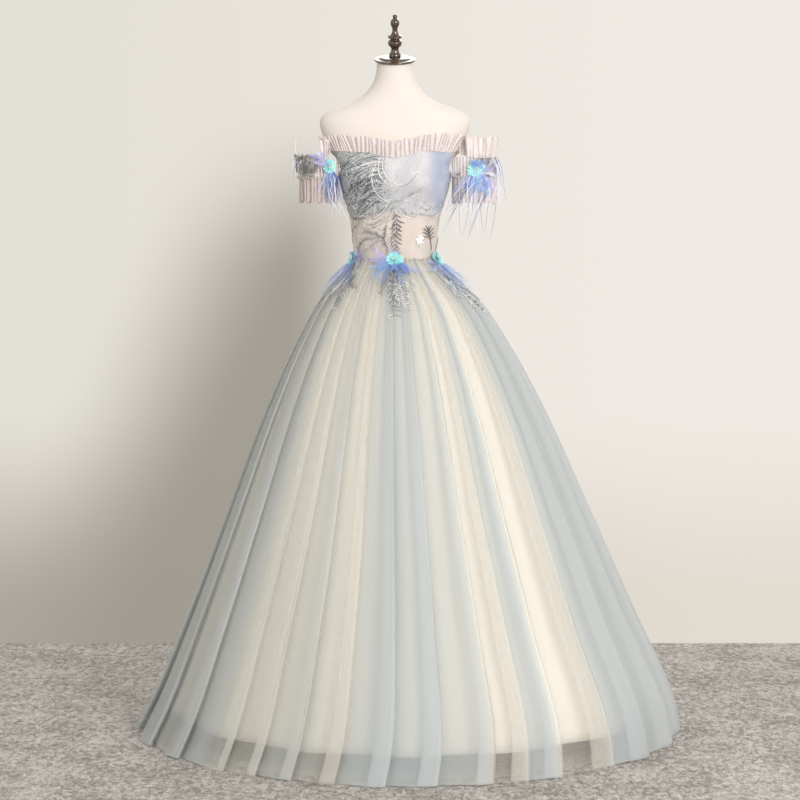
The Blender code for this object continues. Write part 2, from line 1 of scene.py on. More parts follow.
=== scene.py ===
"""Looks of the off-the-shoulder ballroom gown on its dress form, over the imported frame.

Metres, +Z up, the gown faces -Y and its hem is on z = 0. Angles run from the front (0) round
through +X (90) to the back (180), in degrees in the tables. Cloth is a grid of points worked out
as whole arrays: a surface of angle and height, moved along its normal by folds.
"""
import math

import bpy
import numpy as np
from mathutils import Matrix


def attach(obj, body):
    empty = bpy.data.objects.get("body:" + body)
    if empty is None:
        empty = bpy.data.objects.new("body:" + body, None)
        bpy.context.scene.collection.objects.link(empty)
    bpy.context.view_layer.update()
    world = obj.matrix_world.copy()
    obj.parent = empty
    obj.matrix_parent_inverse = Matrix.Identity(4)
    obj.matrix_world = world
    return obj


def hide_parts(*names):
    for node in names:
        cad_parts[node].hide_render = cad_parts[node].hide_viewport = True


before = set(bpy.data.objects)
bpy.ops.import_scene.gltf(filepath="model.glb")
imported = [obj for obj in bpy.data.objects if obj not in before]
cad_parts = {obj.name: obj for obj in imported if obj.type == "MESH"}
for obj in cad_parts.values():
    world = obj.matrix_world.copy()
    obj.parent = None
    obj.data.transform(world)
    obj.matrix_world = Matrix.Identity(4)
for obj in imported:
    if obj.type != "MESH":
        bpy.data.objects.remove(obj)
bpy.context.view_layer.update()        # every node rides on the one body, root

PITCH = math.radians(5.267)
EYE = np.array([0.0117, -6.0, 1.3223])
FOCAL = 2570.6                     # pixels of an 800 pixel picture


def studio_camera():
    """Camera at the photograph's place, pitched a little down."""
    lens = bpy.data.cameras.new("studio_camera")
    lens.sensor_width, lens.lens = 36.0, FOCAL * 36.0 / 800.0
    made = bpy.data.objects.new("studio_camera", lens)
    bpy.context.scene.collection.objects.link(made)
    made.location = EYE
    made.rotation_euler = (math.pi / 2 - PITCH, 0, 0)
    bpy.context.scene.camera = made


studio_camera()

# Sizes shared with the frame
SEAM, CLOTH, FORM_GAP, LACE, MESH = 0.0003, 0.0011, 0.0024, 0.0020, 0.0013
NECK_LEAN, NECK_Z = math.radians(14.0), 1.5575
WAIST_Z, LINING_HEM, UNDER_HEM = 1.100, 0.050, 0.006
PLEAT_LAP, UNDER_FLUTES, LINING_FLUTES = 0.30, 20, 14
BUTTONS, BUTTON_LOW, BUTTON_STEP, BUTTON_ROUND = 7, 1.127, 0.0295, 0.0052
FLOOR_BACK = 1.02        # where the photograph's floor meets the wall

# Form sections: height, half width, front depth, back depth, squareness
FORM = np.array([
    (0.815, 0.118, 0.084, 0.098, 2.20), (0.850, 0.146, 0.100, 0.120, 2.20),
    (0.915, 0.157, 0.107, 0.129, 2.20), (0.990, 0.136, 0.098, 0.110, 2.15),
    (1.050, 0.103, 0.083, 0.086, 2.10), (1.100, 0.0865, 0.0735, 0.0735, 2.05),
    (1.137, 0.0932, 0.0785, 0.0780, 2.05), (1.170, 0.0970, 0.0820, 0.0820, 2.10),
    (1.207, 0.1030, 0.0865, 0.0880, 2.15), (1.245, 0.1150, 0.0920, 0.0950, 2.20),
    (1.283, 0.1245, 0.0975, 0.1000, 2.30), (1.315, 0.1265, 0.0965, 0.1010, 2.30),
    (1.336, 0.1390, 0.0910, 0.0990, 2.25), (1.354, 0.1570, 0.0850, 0.0965, 2.20),
    (1.376, 0.1640, 0.0780, 0.0940, 2.20), (1.399, 0.1720, 0.0710, 0.0900, 2.20),
    (1.415, 0.1745, 0.0660, 0.0850, 2.20), (1.427, 0.1710, 0.0620, 0.0790, 2.15),
    (1.437, 0.1610, 0.0580, 0.0720, 2.10), (1.446, 0.1430, 0.0550, 0.0670, 2.05),
    (1.454, 0.1200, 0.0530, 0.0620, 2.00), (1.464, 0.0980, 0.0500, 0.0580, 2.00),
    (1.476, 0.0775, 0.0480, 0.0540, 2.00), (1.493, 0.0605, 0.0460, 0.0500, 2.00),
    (1.510, 0.0500, 0.0450, 0.0470, 2.00), (1.530, 0.0440, 0.0435, 0.0440, 2.00),
    (1.5575, 0.0415, 0.0415, 0.0415, 2.00)])

# Skirt over the crests of its folds: height, half width, half depth, offset along X
SKIRT = np.array([
    (0.000, 0.645, 0.645, 0.031), (0.055, 0.6255, 0.628, 0.040), (0.295, 0.5205, 0.524, 0.039),
    (0.533, 0.4200, 0.424, 0.032), (0.769, 0.3190, 0.320, 0.0234), (0.900, 0.2530, 0.250, 0.0170),
    (1.004, 0.1880, 0.180, 0.0105), (1.045, 0.1520, 0.142, 0.0060), (1.075, 0.1220, 0.110, 0.0030),
    (1.100, 0.1030, 0.0905, 0.0000), (1.120, 0.0990, 0.0875, 0.0000),
    (1.170, 0.0990, 0.0875, 0.0000)])

CRESTS = np.array((-84, -68, -54, -40, -32, -24, -15, -5, 5, 16, 23.3, 31, 44.6, 57, 70, 84,
                   98, 111, 123, 137, 150, 163, 177, 190, 203, 216, 229, 243, 260), float)

# Sleeves: side, centre X, centre Y, half width, half depth, band top, flounce seam, flounce hem
SLEEVES = {"left": (-0.1771, -0.004, 0.0460, 0.056, 1.338, 1.288, 1.232),
           "right": (0.1826, -0.004, 0.0510, 0.058, 1.343, 1.290, 1.230)}

# Soft troughs and ridges of the skirt: angle, half width, metres out at the hem, height where each
# starts
FOLDS = np.array([
    (-79, 3.0, -0.007, 0.80), (-73, 2.0, 0.004, 0.45), (-62, 3.4, -0.009, 0.90),
    (-58, 1.6, 0.005, 0.40), (-47, 3.0, -0.008, 0.95), (-43.5, 1.2, 0.003, 0.35),
    (-36.5, 1.8, -0.005, 0.85), (-28.5, 2.0, -0.006, 1.00), (-20.5, 2.2, -0.007, 0.70),
    (-17.5, 1.1, 0.003, 0.30), (-11.0, 2.6, -0.006, 0.55), (-7.4, 1.3, 0.003, 0.90),
    (-1.5, 2.4, -0.005, 0.40), (1.8, 1.2, 0.003, 0.75), (9.0, 2.2, -0.006, 0.85),
    (12.6, 1.2, 0.003, 0.35), (19.5, 1.5, -0.006, 0.95), (27.0, 1.9, -0.005, 0.60),
    (36.0, 3.0, -0.006, 0.50), (40.5, 1.5, 0.004, 0.90), (49.0, 2.6, -0.008, 0.80),
    (53.5, 1.4, 0.003, 0.40), (62.0, 3.2, -0.008, 0.65), (66.5, 1.5, 0.004, 0.95),
    (76.0, 3.0, -0.009, 0.75), (90.0, 3.4, -0.008, 0.90), (94.5, 1.6, 0.004, 0.40),
    (103.0, 2.8, -0.007, 0.60), (116.0, 3.2, -0.009, 0.95), (119.5, 1.5, 0.004, 0.35),
    (129.0, 3.4, -0.008, 0.75), (143.0, 2.8, -0.006, 0.55), (146.5, 1.4, 0.004, 0.85),
    (156.0, 3.2, -0.009, 0.90), (169.0, 3.0, -0.007, 0.60), (173.5, 1.5, 0.003, 0.40),
    (183.0, 2.8, -0.008, 0.95), (196.0, 3.3, -0.009, 0.70), (199.5, 1.4, 0.004, 0.35),
    (209.0, 3.0, -0.007, 0.85), (222.0, 3.2, -0.008, 0.50), (226.0, 1.4, 0.004, 0.90),
    (236.0, 3.4, -0.009, 0.75), (250.0, 3.2, -0.007, 0.95), (255.0, 1.6, 0.004, 0.40),
    (268.0, 3.4, -0.008, 0.60)])

# How blue the outer tulle is round the skirt: ivory panels show between blue-grey ones
BLUENESS = np.array([
    (-100, 0.75), (-84, 0.80), (-70, 0.85), (-62, 0.45), (-56, 0.80), (-49, 0.85), (-44, 0.45),
    (-40.5, 0.20), (-35, 0.15), (-32, 0.35), (-26, 0.62), (-21, 0.40), (-18, 0.10), (-15.4, 0.18),
    (-13.5, 0.75), (-6, 0.92), (2, 0.86), (6, 0.76), (9, 0.62), (14, 0.72), (15.8, 0.50),
    (16.4, 0.00), (22, 0.05), (23.3, 0.20), (24.0, 0.85), (29.8, 0.95), (31, 0.06), (37, 0.00),
    (43, 0.05), (44.6, 0.20), (45.6, 0.95), (52, 1.10), (70, 1.25), (84, 1.20), (98, 0.55),
    (104, 0.15),
    (111, 0.20), (116, 0.85), (130, 0.95), (137, 0.30), (150, 0.10), (156, 0.75), (170, 1.00),
    (184, 0.90), (190, 0.25), (203, 0.08), (208, 0.70), (222, 0.95), (232, 0.40), (243, 0.15),
    (250, 0.60), (260, 0.75)])


def smooth(z, table):
    """Cubic through the rows of a table whose first column is the place."""
    knots, values = table[:, 0], table[:, 1:]
    slopes = np.gradient(values, knots, axis=0)
    z = np.clip(np.asarray(z, float), knots[0], knots[-1])
    k = np.clip(np.searchsorted(knots, z, side="right") - 1, 0, len(knots) - 2)
    h = (knots[k + 1] - knots[k])[..., None]
    t = ((z - knots[k]) / (knots[k + 1] - knots[k]))[..., None]
    return ((1 + 2 * t) * (1 - t) ** 2 * values[k] + t * (1 - t) ** 2 * h * slopes[k]
            + t * t * (3 - 2 * t) * values[k + 1] + t * t * (t - 1) * h * slopes[k + 1])


def step(x):
    """Smooth rise from 0 to 1: 3 x squared less 2 x cubed."""
    x = np.clip(x, 0, 1)
    return x * x * (3 - 2 * x)


def unit(v):
    """Vectors turned to length one."""
    return v / np.maximum(np.linalg.norm(v, axis=-1, keepdims=True), 1e-12)


def with_normals(p):
    """Points on plan and the level normals of the line through them."""
    d = unit(np.gradient(p, axis=0))
    return p, np.stack([d[:, 1], -d[:, 0]], 1)


def form_surface(angle, z):
    """Rounded sections, x = wide sin^(2/square), y = -depth cos^(2/square), and two bust mounds."""
    angle, z = np.broadcast_arrays(np.asarray(angle, float), np.asarray(z, float))
    wide, front, back, square = np.moveaxis(smooth(z, FORM), -1, 0)
    s, c = np.sin(angle), np.cos(angle)
    x = wide * np.sign(s) * np.abs(s) ** (2 / square)
    y = -np.where(c > 0, front, back) * np.sign(c) * np.abs(c) ** (2 / square)
    mound = np.exp(-((np.abs(x) - 0.058) / 0.044) ** 2 - ((z - 1.279) / 0.044) ** 2)
    y = y - 0.017 * mound * step(c * 2)
    return np.stack([x, y, z + math.tan(NECK_LEAN) * step((z - 1.510) / 0.0475) * y], -1)


def skirt_surface(angle, z):
    """Oval sections: x = shift + wide sin(angle), y = -deep cos(angle)."""
    angle, z = np.broadcast_arrays(np.asarray(angle, float), np.asarray(z, float))
    wide, deep, shift = np.moveaxis(smooth(z, SKIRT), -1, 0)
    return np.stack([shift + wide * np.sin(angle), -deep * np.cos(angle), z], -1)


def moved_out(surface, angle, z, far):
    """The surface's point plus far times its normal, the cross product of its two slopes."""
    e = 1e-4
    n = np.cross(surface(angle + e, z) - surface(angle - e, z),
                 surface(angle, z + e) - surface(angle, z - e))
    return surface(angle, z) + np.asarray(far, float)[..., None] * unit(n)


def bodice_surface(angle, z):
    """Outside of the bodice: the form moved out by its gap and the cloth."""
    angle, z = np.broadcast_arrays(np.asarray(angle, float), np.asarray(z, float))
    return moved_out(form_surface, angle, z, np.full(angle.shape, FORM_GAP + LACE))


def sleeve_ring(side, angle, away, ahead=None):
    """x and y on a sleeve's oval, grown by away metres along X and ahead metres along Y."""
    cx, cy, wide, deep = SLEEVES[side][:4]
    ahead = away if ahead is None else ahead
    return cx + (wide + away) * np.sin(angle), cy - (deep + ahead) * np.cos(angle)


def sleeve_surface(side):
    """Upright oval tube of a sleeve, 3.5 mm outside its band."""
    def tube(angle, z):
        return np.stack(np.broadcast_arrays(*sleeve_ring(side, angle, 0.0035), z), -1)
    return tube


def bodice_top(a):
    """Height of the bodice's upper edge: a dip at the front, low under the arms, level behind."""
    side = np.abs(np.degrees(np.arctan2(np.sin(a), np.cos(a))))
    return np.interp(side, (0, 12, 30, 52, 66, 78, 100, 118, 140, 180),
                     (1.337, 1.345, 1.352, 1.350, 1.338, 1.302, 1.302, 1.325, 1.335, 1.332))


def bodice_under(a):
    """Height of the scalloped seam of bust and midriff."""
    return 1.2080 + 0.0055 * np.cos(4 * a) + 0.0025 * np.cos(9 * a + 0.6)


class Patch:
    """Flat measure on a curved surface: u metres across, v metres down and off metres out."""

    def __init__(self, surface, angle, z):
        e, turn = 1e-4, 0.2
        self.surface, self.a, self.z = surface, math.radians(angle), z
        a0, z0 = np.array(self.a), np.array(float(z))
        self.wide = np.linalg.norm(surface(a0 + turn, z0) - surface(a0 - turn, z0)) / (2 * turn)
        self.tall = np.linalg.norm(surface(a0, z0) - surface(a0, z0 - e)) / e

    def __call__(self, u, v, off):
        u, v, off = np.broadcast_arrays(u, v, off)
        return moved_out(self.surface, self.a + u / self.wide, self.z - v / self.tall, off)

    def seen(self, spots):
        """u and v that the camera sees at pixels of the picture: its ray met with the surface."""
        ang, found = np.radians(np.linspace(-88, 88, 177)), []
        for px, py in spots:
            across, up = (px - 400) / FOCAL, (400 - py) / FOCAL
            ray = np.array([across, math.cos(PITCH) + up * math.sin(PITCH),
                            up * math.cos(PITCH) - math.sin(PITCH)])
            y = -0.1
            for _ in range(7):
                p = EYE + ray * (y - EYE[1]) / ray[1]
                ring = self.surface(ang, np.full_like(ang, p[2]))
                a = np.interp(p[0], ring[:, 0], ang)
                y = np.interp(a, ang, ring[:, 1])
            found.append(((a - self.a) * self.wide, (self.z - p[2]) * self.tall))
        return np.array(found)


# ---------------------------------------------------------------- nodes and paints

class Reading:
    """A number inside a node tree. Arithmetic on it adds Math nodes."""

    def __init__(self, nodes, socket):
        self.nodes, self.socket = nodes, socket

    def math(self, operation, *values):
        return self.nodes.add("ShaderNodeMath", {"operation": operation},
                              dict(enumerate(values)))

    def __add__(self, other): return self.math("ADD", self, other)
    def __radd__(self, other): return self.math("ADD", other, self)
    def __sub__(self, other): return self.math("SUBTRACT", self, other)
    def __rsub__(self, other): return self.math("SUBTRACT", other, self)
    def __mul__(self, other): return self.math("MULTIPLY", self, other)
    def __rmul__(self, other): return self.math("MULTIPLY", other, self)
    def wave(self): return self.math("SINE", self)


class Nodes:
    """A node tree, and the nodes that paints and surroundings share."""

    def __init__(self, tree):
        self.tree = tree

    def feed(self, socket, value):
        if isinstance(value, Reading):
            self.tree.links.new(value.socket, socket)
        elif socket.type == "RGBA":
            socket.default_value = (*value[:3], 1)
        else:
            socket.default_value = value

    def add(self, kind, settings=None, inputs=None, out=0):
        """Any node: its type, its settings, ramp stops among them, then its sockets' values."""
        node = self.tree.nodes.new(kind)
        for key, value in (settings or {}).items():
            if key == "stops":
                while len(node.color_ramp.elements) < len(value):
                    node.color_ramp.elements.new(0.5)
                for stop, (place, tone) in zip(node.color_ramp.elements, value):
                    stop.position, stop.color = place, (*tone, 1)
            else:
                setattr(node, key, value)
        for key, value in (inputs or {}).items():
            self.feed(node.inputs[key], value)
        return Reading(self, node.outputs[out])

    def ease(self, value, low, high):
        return self.add("ShaderNodeMapRange", {"interpolation_type": "SMOOTHSTEP"}, {
            "Value": value, "From Min": low, "From Max": high})

    def blend(self, share, first, second):
        return self.add("ShaderNodeMix", {"data_type": "RGBA"}, {0: share, 6: first, 7: second},
                        out=2)


class Paint(Nodes):
    """One finish: a Principled shader and the nodes that vary it."""

    def __init__(self, name, rough=0.7, **even):
        self.material = bpy.data.materials.new(name)
        self.material.use_nodes = True
        super().__init__(self.material.node_tree)
        self.shader = self.tree.nodes["Principled BSDF"]
        self.shader.inputs["Roughness"].default_value = rough
        for socket, value in even.items():
            self.shader.inputs[socket.replace("_", " ")].default_value = value

    def mark(self, name):
        return self.add("ShaderNodeAttribute", {"attribute_name": name}, out="Fac")

    def place(self, stretch=(1, 1, 1)):
        return self.add("ShaderNodeMapping", inputs={
            "Vector": self.add("ShaderNodeTexCoord", out="Object"), "Scale": stretch})

    def noise(self, scale, detail=3.0, stretch=(1, 1, 1), warp=0.0):
        return self.add("ShaderNodeTexNoise", inputs={
            "Vector": self.place(stretch), "Scale": scale, "Detail": detail, "Distortion": warp})

    def cells(self, scale, feature="DISTANCE_TO_EDGE", stretch=(1, 1, 1)):
        return self.add("ShaderNodeTexVoronoi", {"feature": feature}, {
            "Vector": self.place(stretch), "Scale": scale})

    def weave(self, pitch):
        """Over-and-under threads on the piece's own map, in metres: sin(ku) sin(kv)."""
        cut = self.add("ShaderNodeUVMap")
        u = self.add("ShaderNodeSeparateXYZ", inputs={0: cut}, out="X")
        v = self.add("ShaderNodeSeparateXYZ", inputs={0: cut}, out="Y")
        k = 2 * math.pi / pitch
        return (u * k).wave() * (v * k).wave()

    def finish(self, colour=None, rough=None, clear=None, height=None, depth=0.0005):
        if colour is not None:
            self.feed(self.shader.inputs["Base Color"], colour)
        if rough is not None:
            self.feed(self.shader.inputs["Roughness"], rough)
        if clear is not None:
            self.feed(self.shader.inputs["Alpha"], clear)
        if height is not None:
            self.feed(self.shader.inputs["Normal"], self.add("ShaderNodeBump", inputs={
                "Height": height, "Distance": depth, "Strength": 0.8}))
        return self.material


def make_paints():
    """Every finish of the gown, the form and its stand."""
    made = {}
    p = Paint("cream_jersey", 0.82, Sheen_Weight=0.25, Sheen_Roughness=0.5)
    rib = p.noise(420, 2, (1, 1, 0.35))
    made["jersey"] = p.finish(p.blend(p.noise(5), (0.68, 0.635, 0.59), (0.65, 0.605, 0.56)),
                              height=rib * 0.6 + p.noise(90) * 0.4, depth=0.0004)

    p = Paint("dark_walnut", 0.2, Coat_Weight=1.0, Coat_Roughness=0.06)
    grain = p.noise(38, 6, (1, 1, 0.12), 1.2)
    made["walnut"] = p.finish(p.blend(grain, (0.012, 0.007, 0.005), (0.085, 0.042, 0.024)),
                              rough=0.18 + p.noise(60) * 0.14, height=grain, depth=0.0002)

    p = Paint("satin_steel", 0.36, Metallic=0.85)
    made["steel"] = p.finish(p.blend(p.noise(9), (0.42, 0.42, 0.43), (0.52, 0.52, 0.53)),
                             rough=0.30 + p.noise(160) * 0.16, height=p.noise(700), depth=0.0001)

    # Bust: silver lace on the left half, smooth lavender blue net on the right
    p = Paint("bust_lace", 0.6, Sheen_Weight=0.3)
    side = p.mark("silver")
    net = 1 - p.ease(p.cells(520), 0.02, 0.16)
    flow = p.add("ShaderNodeTexWave", {"bands_direction": "DIAGONAL"}, {
        "Vector": p.place((1, 0.3, -1.3)), "Scale": 90, "Distortion": 6, "Detail": 3,
        "Detail Scale": 1.4, "Detail Roughness": 0.6}, out="Fac")
    thread = p.ease(flow, 0.15, 0.90) * 0.5 + p.ease(p.noise(420, 2, (1, 1, 0.5), 1.4),
                                                     0.38, 0.64) * 0.45
    soft = p.ease(p.noise(26, 4), 0.35, 0.68)
    ground = p.blend(p.mark("wing"),
                     p.blend(soft, (0.60, 0.58, 0.62), (0.71, 0.69, 0.70)),
                     p.blend(soft, (0.34, 0.41, 0.60), (0.52, 0.57, 0.70)))
    grain = p.ease(p.noise(330, 3, (1, 1, 0.7), 1.2), 0.44, 0.62)
    ground = p.blend(grain * 0.5, ground, (0.44, 0.47, 0.55))
    silver = p.blend(thread, (0.25, 0.265, 0.28), (0.76, 0.78, 0.80))
    made["lace"] = p.finish(p.blend(side, ground, silver),
                            rough=0.62 - side * thread * 0.25,
                            height=side * thread + net * 0.35 + p.noise(70) * 0.2, depth=0.0012)

    p = Paint("nude_mesh", 0.75, Sheen_Weight=0.2)
    net = p.weave(0.0014)
    made["mesh"] = p.finish(p.blend(p.ease(p.noise(30, 4), 0.3, 0.7), (0.90, 0.78, 0.71),
                                    (0.97, 0.90, 0.85)),
                            clear=0.56 + net * 0.12, height=net, depth=0.0003)

    p = Paint("band_mesh", 0.7, Sheen_Weight=0.2)
    net = p.weave(0.0016)
    made["band"] = p.finish(p.blend(p.ease(p.noise(60, 4, (1, 1, 0.4), 1.5), 0.38, 0.62),
                                    (0.27, 0.26, 0.255), (0.70, 0.66, 0.64)),
                            clear=0.70 + net * 0.12, height=net + p.noise(140, 3, (1, 1, 0.4)),
                            depth=0.0008)

    for key, dark, light, cover in (
            ("ruffle", (0.55, 0.45, 0.46), (0.88, 0.81, 0.81), 0.78),
            ("flounce", (0.33, 0.25, 0.25), (0.66, 0.57, 0.56), 0.82)):
        p = Paint(key + "_tulle", 0.78, Sheen_Weight=0.35)
        net = p.weave(0.0013)
        # tone follows the ridge mark: painted shade in the pleats' valleys and painted light on
        # their crests, broken by noise
        tone = p.ease(p.mark("ridge") + (p.noise(260, 3, (1, 1, 0.25), 0.8) - 0.5) * 1.3,
                      -0.15, 0.85)
        made[key] = p.finish(p.blend(tone, dark, light), clear=cover + net * 0.10,
                             height=net * 0.5 + p.noise(300, 2, (1, 1, 0.2)), depth=0.0004)

    # Outer tulle: blue-grey and ivory panels of one sheer net
    p = Paint("sheer_tulle", 0.72, Sheen_Weight=0.35, Sheen_Roughness=0.4)
    blue, net = p.mark("blue"), p.weave(0.0020)
    soft = p.noise(3.2, 3, (1, 1, 0.25)) - 0.5
    # edge paints shade into the tulle: it turns the colour to dark grey along the fold edges, in
    # the lower folds and over the laps, and makes the net more opaque there
    edge = p.mark("edge")
    tone = p.blend(p.ease(blue + soft * 0.3, 0.05, 0.95), (0.86, 0.835, 0.76),
                   (0.60, 0.655, 0.675))
    made["tulle"] = p.finish(
        p.blend(edge * 0.40 + edge * edge * edge * 0.50, tone, (0.34, 0.35, 0.335)),
        clear=0.13 + blue * 0.33 + net * 0.04 + edge * 0.28, height=net, depth=0.0003)

    p = Paint("under_tulle", 0.75, Sheen_Weight=0.3)
    net, blue = p.weave(0.0022), p.mark("blue")
    made["under"] = p.finish(p.blend(blue, (0.84, 0.83, 0.78), (0.68, 0.715, 0.72)),
                             clear=0.10 + blue * 0.17 + net * 0.04, height=net, depth=0.0003)

    p = Paint("ivory_satin", 0.42, Sheen_Weight=0.2, Specular_IOR_Level=0.45)
    made["satin"] = p.finish(p.blend(p.noise(4, 3, (1, 1, 0.3)), (0.925, 0.885, 0.79),
                                     (0.96, 0.93, 0.85)),
                             rough=0.38 + p.noise(18, 3, (1, 1, 0.2)) * 0.14,
                             height=p.weave(0.0012) * 0.4 + p.noise(24, 4, (1, 1, 0.15)),
                             depth=0.0008)

    p = Paint("aqua_petal", 0.3, Coat_Weight=0.6, Coat_Roughness=0.15, Sheen_Weight=0.2)
    made["petal"] = p.finish(p.blend(p.mark("edge"), p.blend(p.mark("tone"), (0.16, 0.74, 0.66),
                                                             (0.22, 0.70, 0.88)),
                                     (0.66, 0.96, 0.90)),
                             rough=0.22 + p.noise(400) * 0.2, height=p.noise(900, 2), depth=0.0002)

    p = Paint("dyed_feather", 0.68, Sheen_Weight=0.12)
    tone = p.add("ShaderNodeValToRGB", {"stops": (
        (0.0, (0.025, 0.03, 0.11)), (0.15, (0.07, 0.09, 0.42)), (0.35, (0.10, 0.27, 0.74)),
        (0.55, (0.26, 0.50, 0.84)), (0.75, (0.32, 0.25, 0.66)), (0.9, (0.56, 0.56, 0.80)),
        (1.0, (0.82, 0.84, 0.88)))},
        {0: p.mark("tone")})
    made["feather"] = p.finish(p.blend(p.noise(300, 2) * 0.16, tone, (0.70, 0.82, 0.95)),
                               height=p.noise(1500, 2), depth=0.0001)

    p = Paint("silver_thread", 0.42, Metallic=0.25, Sheen_Weight=0.2)
    twist = p.noise(1300, 2, (1, 1, 0.35))
    made["thread"] = p.finish(p.blend(p.ease(p.mark("tone") + (twist - 0.5) * 0.5, 0.1, 0.9),
                                      (0.13, 0.135, 0.15), (0.84, 0.85, 0.87)),
                              height=twist, depth=0.0003)

    p = Paint("pearl_bead", 0.2, Coat_Weight=0.8, Coat_Roughness=0.05)
    made["bead"] = p.finish(p.blend(p.noise(240), (0.78, 0.80, 0.84), (0.93, 0.93, 0.92)),
                            rough=0.16 + p.noise(300) * 0.1)

    p = Paint("button_satin", 0.38, Sheen_Weight=0.2)
    made["button"] = p.finish(p.blend(p.noise(120), (0.58, 0.61, 0.68), (0.70, 0.72, 0.77)),
                              height=p.noise(1500, 2), depth=0.0002)

    p = Paint("pale_floor", 0.9)
    tufts = p.noise(70, 6, (1, 0.55, 1), 0.9) * 0.5 + p.noise(190, 4, (1, 0.6, 1), 0.6) * 0.3 \
        + p.noise(7, 3) * 0.2
    pile = p.ease(tufts, 0.38, 0.64)
    made["floor"] = p.finish(p.blend(pile, (0.215, 0.196, 0.182), (0.56, 0.54, 0.52)),
                             height=tufts, depth=0.02)
    return made


PAINTS = make_paints()


# ---------------------------------------------------------------- mesh making

def piece(name, points, paint, slot, stands_for=(), wrap=False, marks=None, cut=None, wall=0.0):
    """Object from grids of points, shaped (grids, rows, columns, 3), each a sheet of quads.

    A quad joins neighbours along rows and columns, and wrap joins the last column to the first.
    cut is a (rows, columns, 2) map in metres, with one column more where the sheet wraps.
    wall thickens the sheet inward by that much.
    """
    points = np.asarray(points, float)
    if points.ndim == 3:
        points = points[None]
    count, rows, cols = points.shape[:3]
    g, r, c = np.meshgrid(np.arange(count), np.arange(rows - 1),
                          np.arange(cols if wrap else cols - 1), indexing="ij")
    base, n = g * rows * cols, (c + 1) % cols
    quads = np.stack([base + r * cols + c, base + r * cols + n,
                      base + (r + 1) * cols + n, base + (r + 1) * cols + c], -1).reshape(-1, 4)
    mesh = bpy.data.meshes.new(name)
    mesh.vertices.add(points.size // 3)
    mesh.vertices.foreach_set("co", points.astype(np.float32).ravel())
    mesh.loops.add(quads.size)
    mesh.loops.foreach_set("vertex_index", quads.astype(np.int32).ravel())
    mesh.polygons.add(len(quads))
    mesh.polygons.foreach_set("loop_start", np.arange(0, quads.size, 4, dtype=np.int32))
    mesh.polygons.foreach_set("use_smooth", np.ones(len(quads), bool))
    mesh.update(calc_edges=True)
    mesh.validate()
    if cut is not None:
        r, c = r.ravel(), c.ravel()
        corner = np.stack([cut[r, c], cut[r, c + 1], cut[r + 1, c + 1], cut[r + 1, c]], 1)
        mesh.uv_layers.new(name="cut").data.foreach_set(
            "uv", corner.astype(np.float32).ravel())
    for key, values in (marks or {}).items():
        values = np.broadcast_to(values, points.shape[:3]).astype(np.float32)
        mesh.attributes.new(key, "FLOAT", "POINT").data.foreach_set("value", values.ravel())
    mesh.materials.append(PAINTS[paint])
    made = bpy.data.objects.new(name, mesh)
    bpy.context.scene.collection.objects.link(made)
    if wall:
        thick = made.modifiers.new("wall", "SOLIDIFY")
        thick.thickness, thick.offset = wall, -1.0
    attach(made, "root")
    if stands_for:
        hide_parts(*stands_for)
    return made


def cut_map(points, wrap=False):
    """Flat map of a grid in metres: lengths along its middle row and its first column."""
    ring = np.concatenate([points, points[:, :1]], 1) if wrap else points
    middle = ring[len(ring) // 2]
    u = np.concatenate([[0], np.cumsum(np.linalg.norm(np.diff(middle, axis=0), axis=1))])
    side = ring[:, 0]
    v = np.concatenate([[0], np.cumsum(np.linalg.norm(np.diff(side, axis=0), axis=1))])
    return np.stack(np.broadcast_arrays(u[None, :], v[:, None]), -1)


def cloth_area(points, wrap=False):
    """Area of a grid from the cross products of its quads' diagonals."""
    if wrap:
        points = np.concatenate([points, points[:, :1]], 1)
    return float(np.linalg.norm(np.cross(points[1:, 1:] - points[:-1, :-1],
                                         points[1:, :-1] - points[:-1, 1:]), axis=-1).sum() / 2)


def tubes(paths, across, radius, sides=6):
    """Round cords along paths (n, k, 3): rings of radius in the plane of across and its normal."""
    paths = np.asarray(paths, float)
    ahead = unit(np.gradient(paths, axis=-2))
    across = unit(across - ahead * (across * ahead).sum(-1, keepdims=True))
    side = np.cross(ahead, across)
    g = np.arange(sides) * 2 * math.pi / sides
    radius = np.asarray(radius, float)[..., None, None] * np.ones((*paths.shape[:-1], 1, 1))
    return paths[..., None, :] + radius * (np.cos(g)[:, None] * side[..., None, :]
                                           + np.sin(g)[:, None] * across[..., None, :])


def curve_through(rows, count):
    """Smooth curve through a few rows of numbers, spaced evenly."""
    rows = np.asarray(rows, float)
    t = np.concatenate([[0], np.cumsum(np.linalg.norm(np.diff(rows, axis=0), axis=1))])
    return smooth(np.linspace(0, t[-1], count), np.column_stack([t, rows]))


# ---------------------------------------------------------------- form and stand

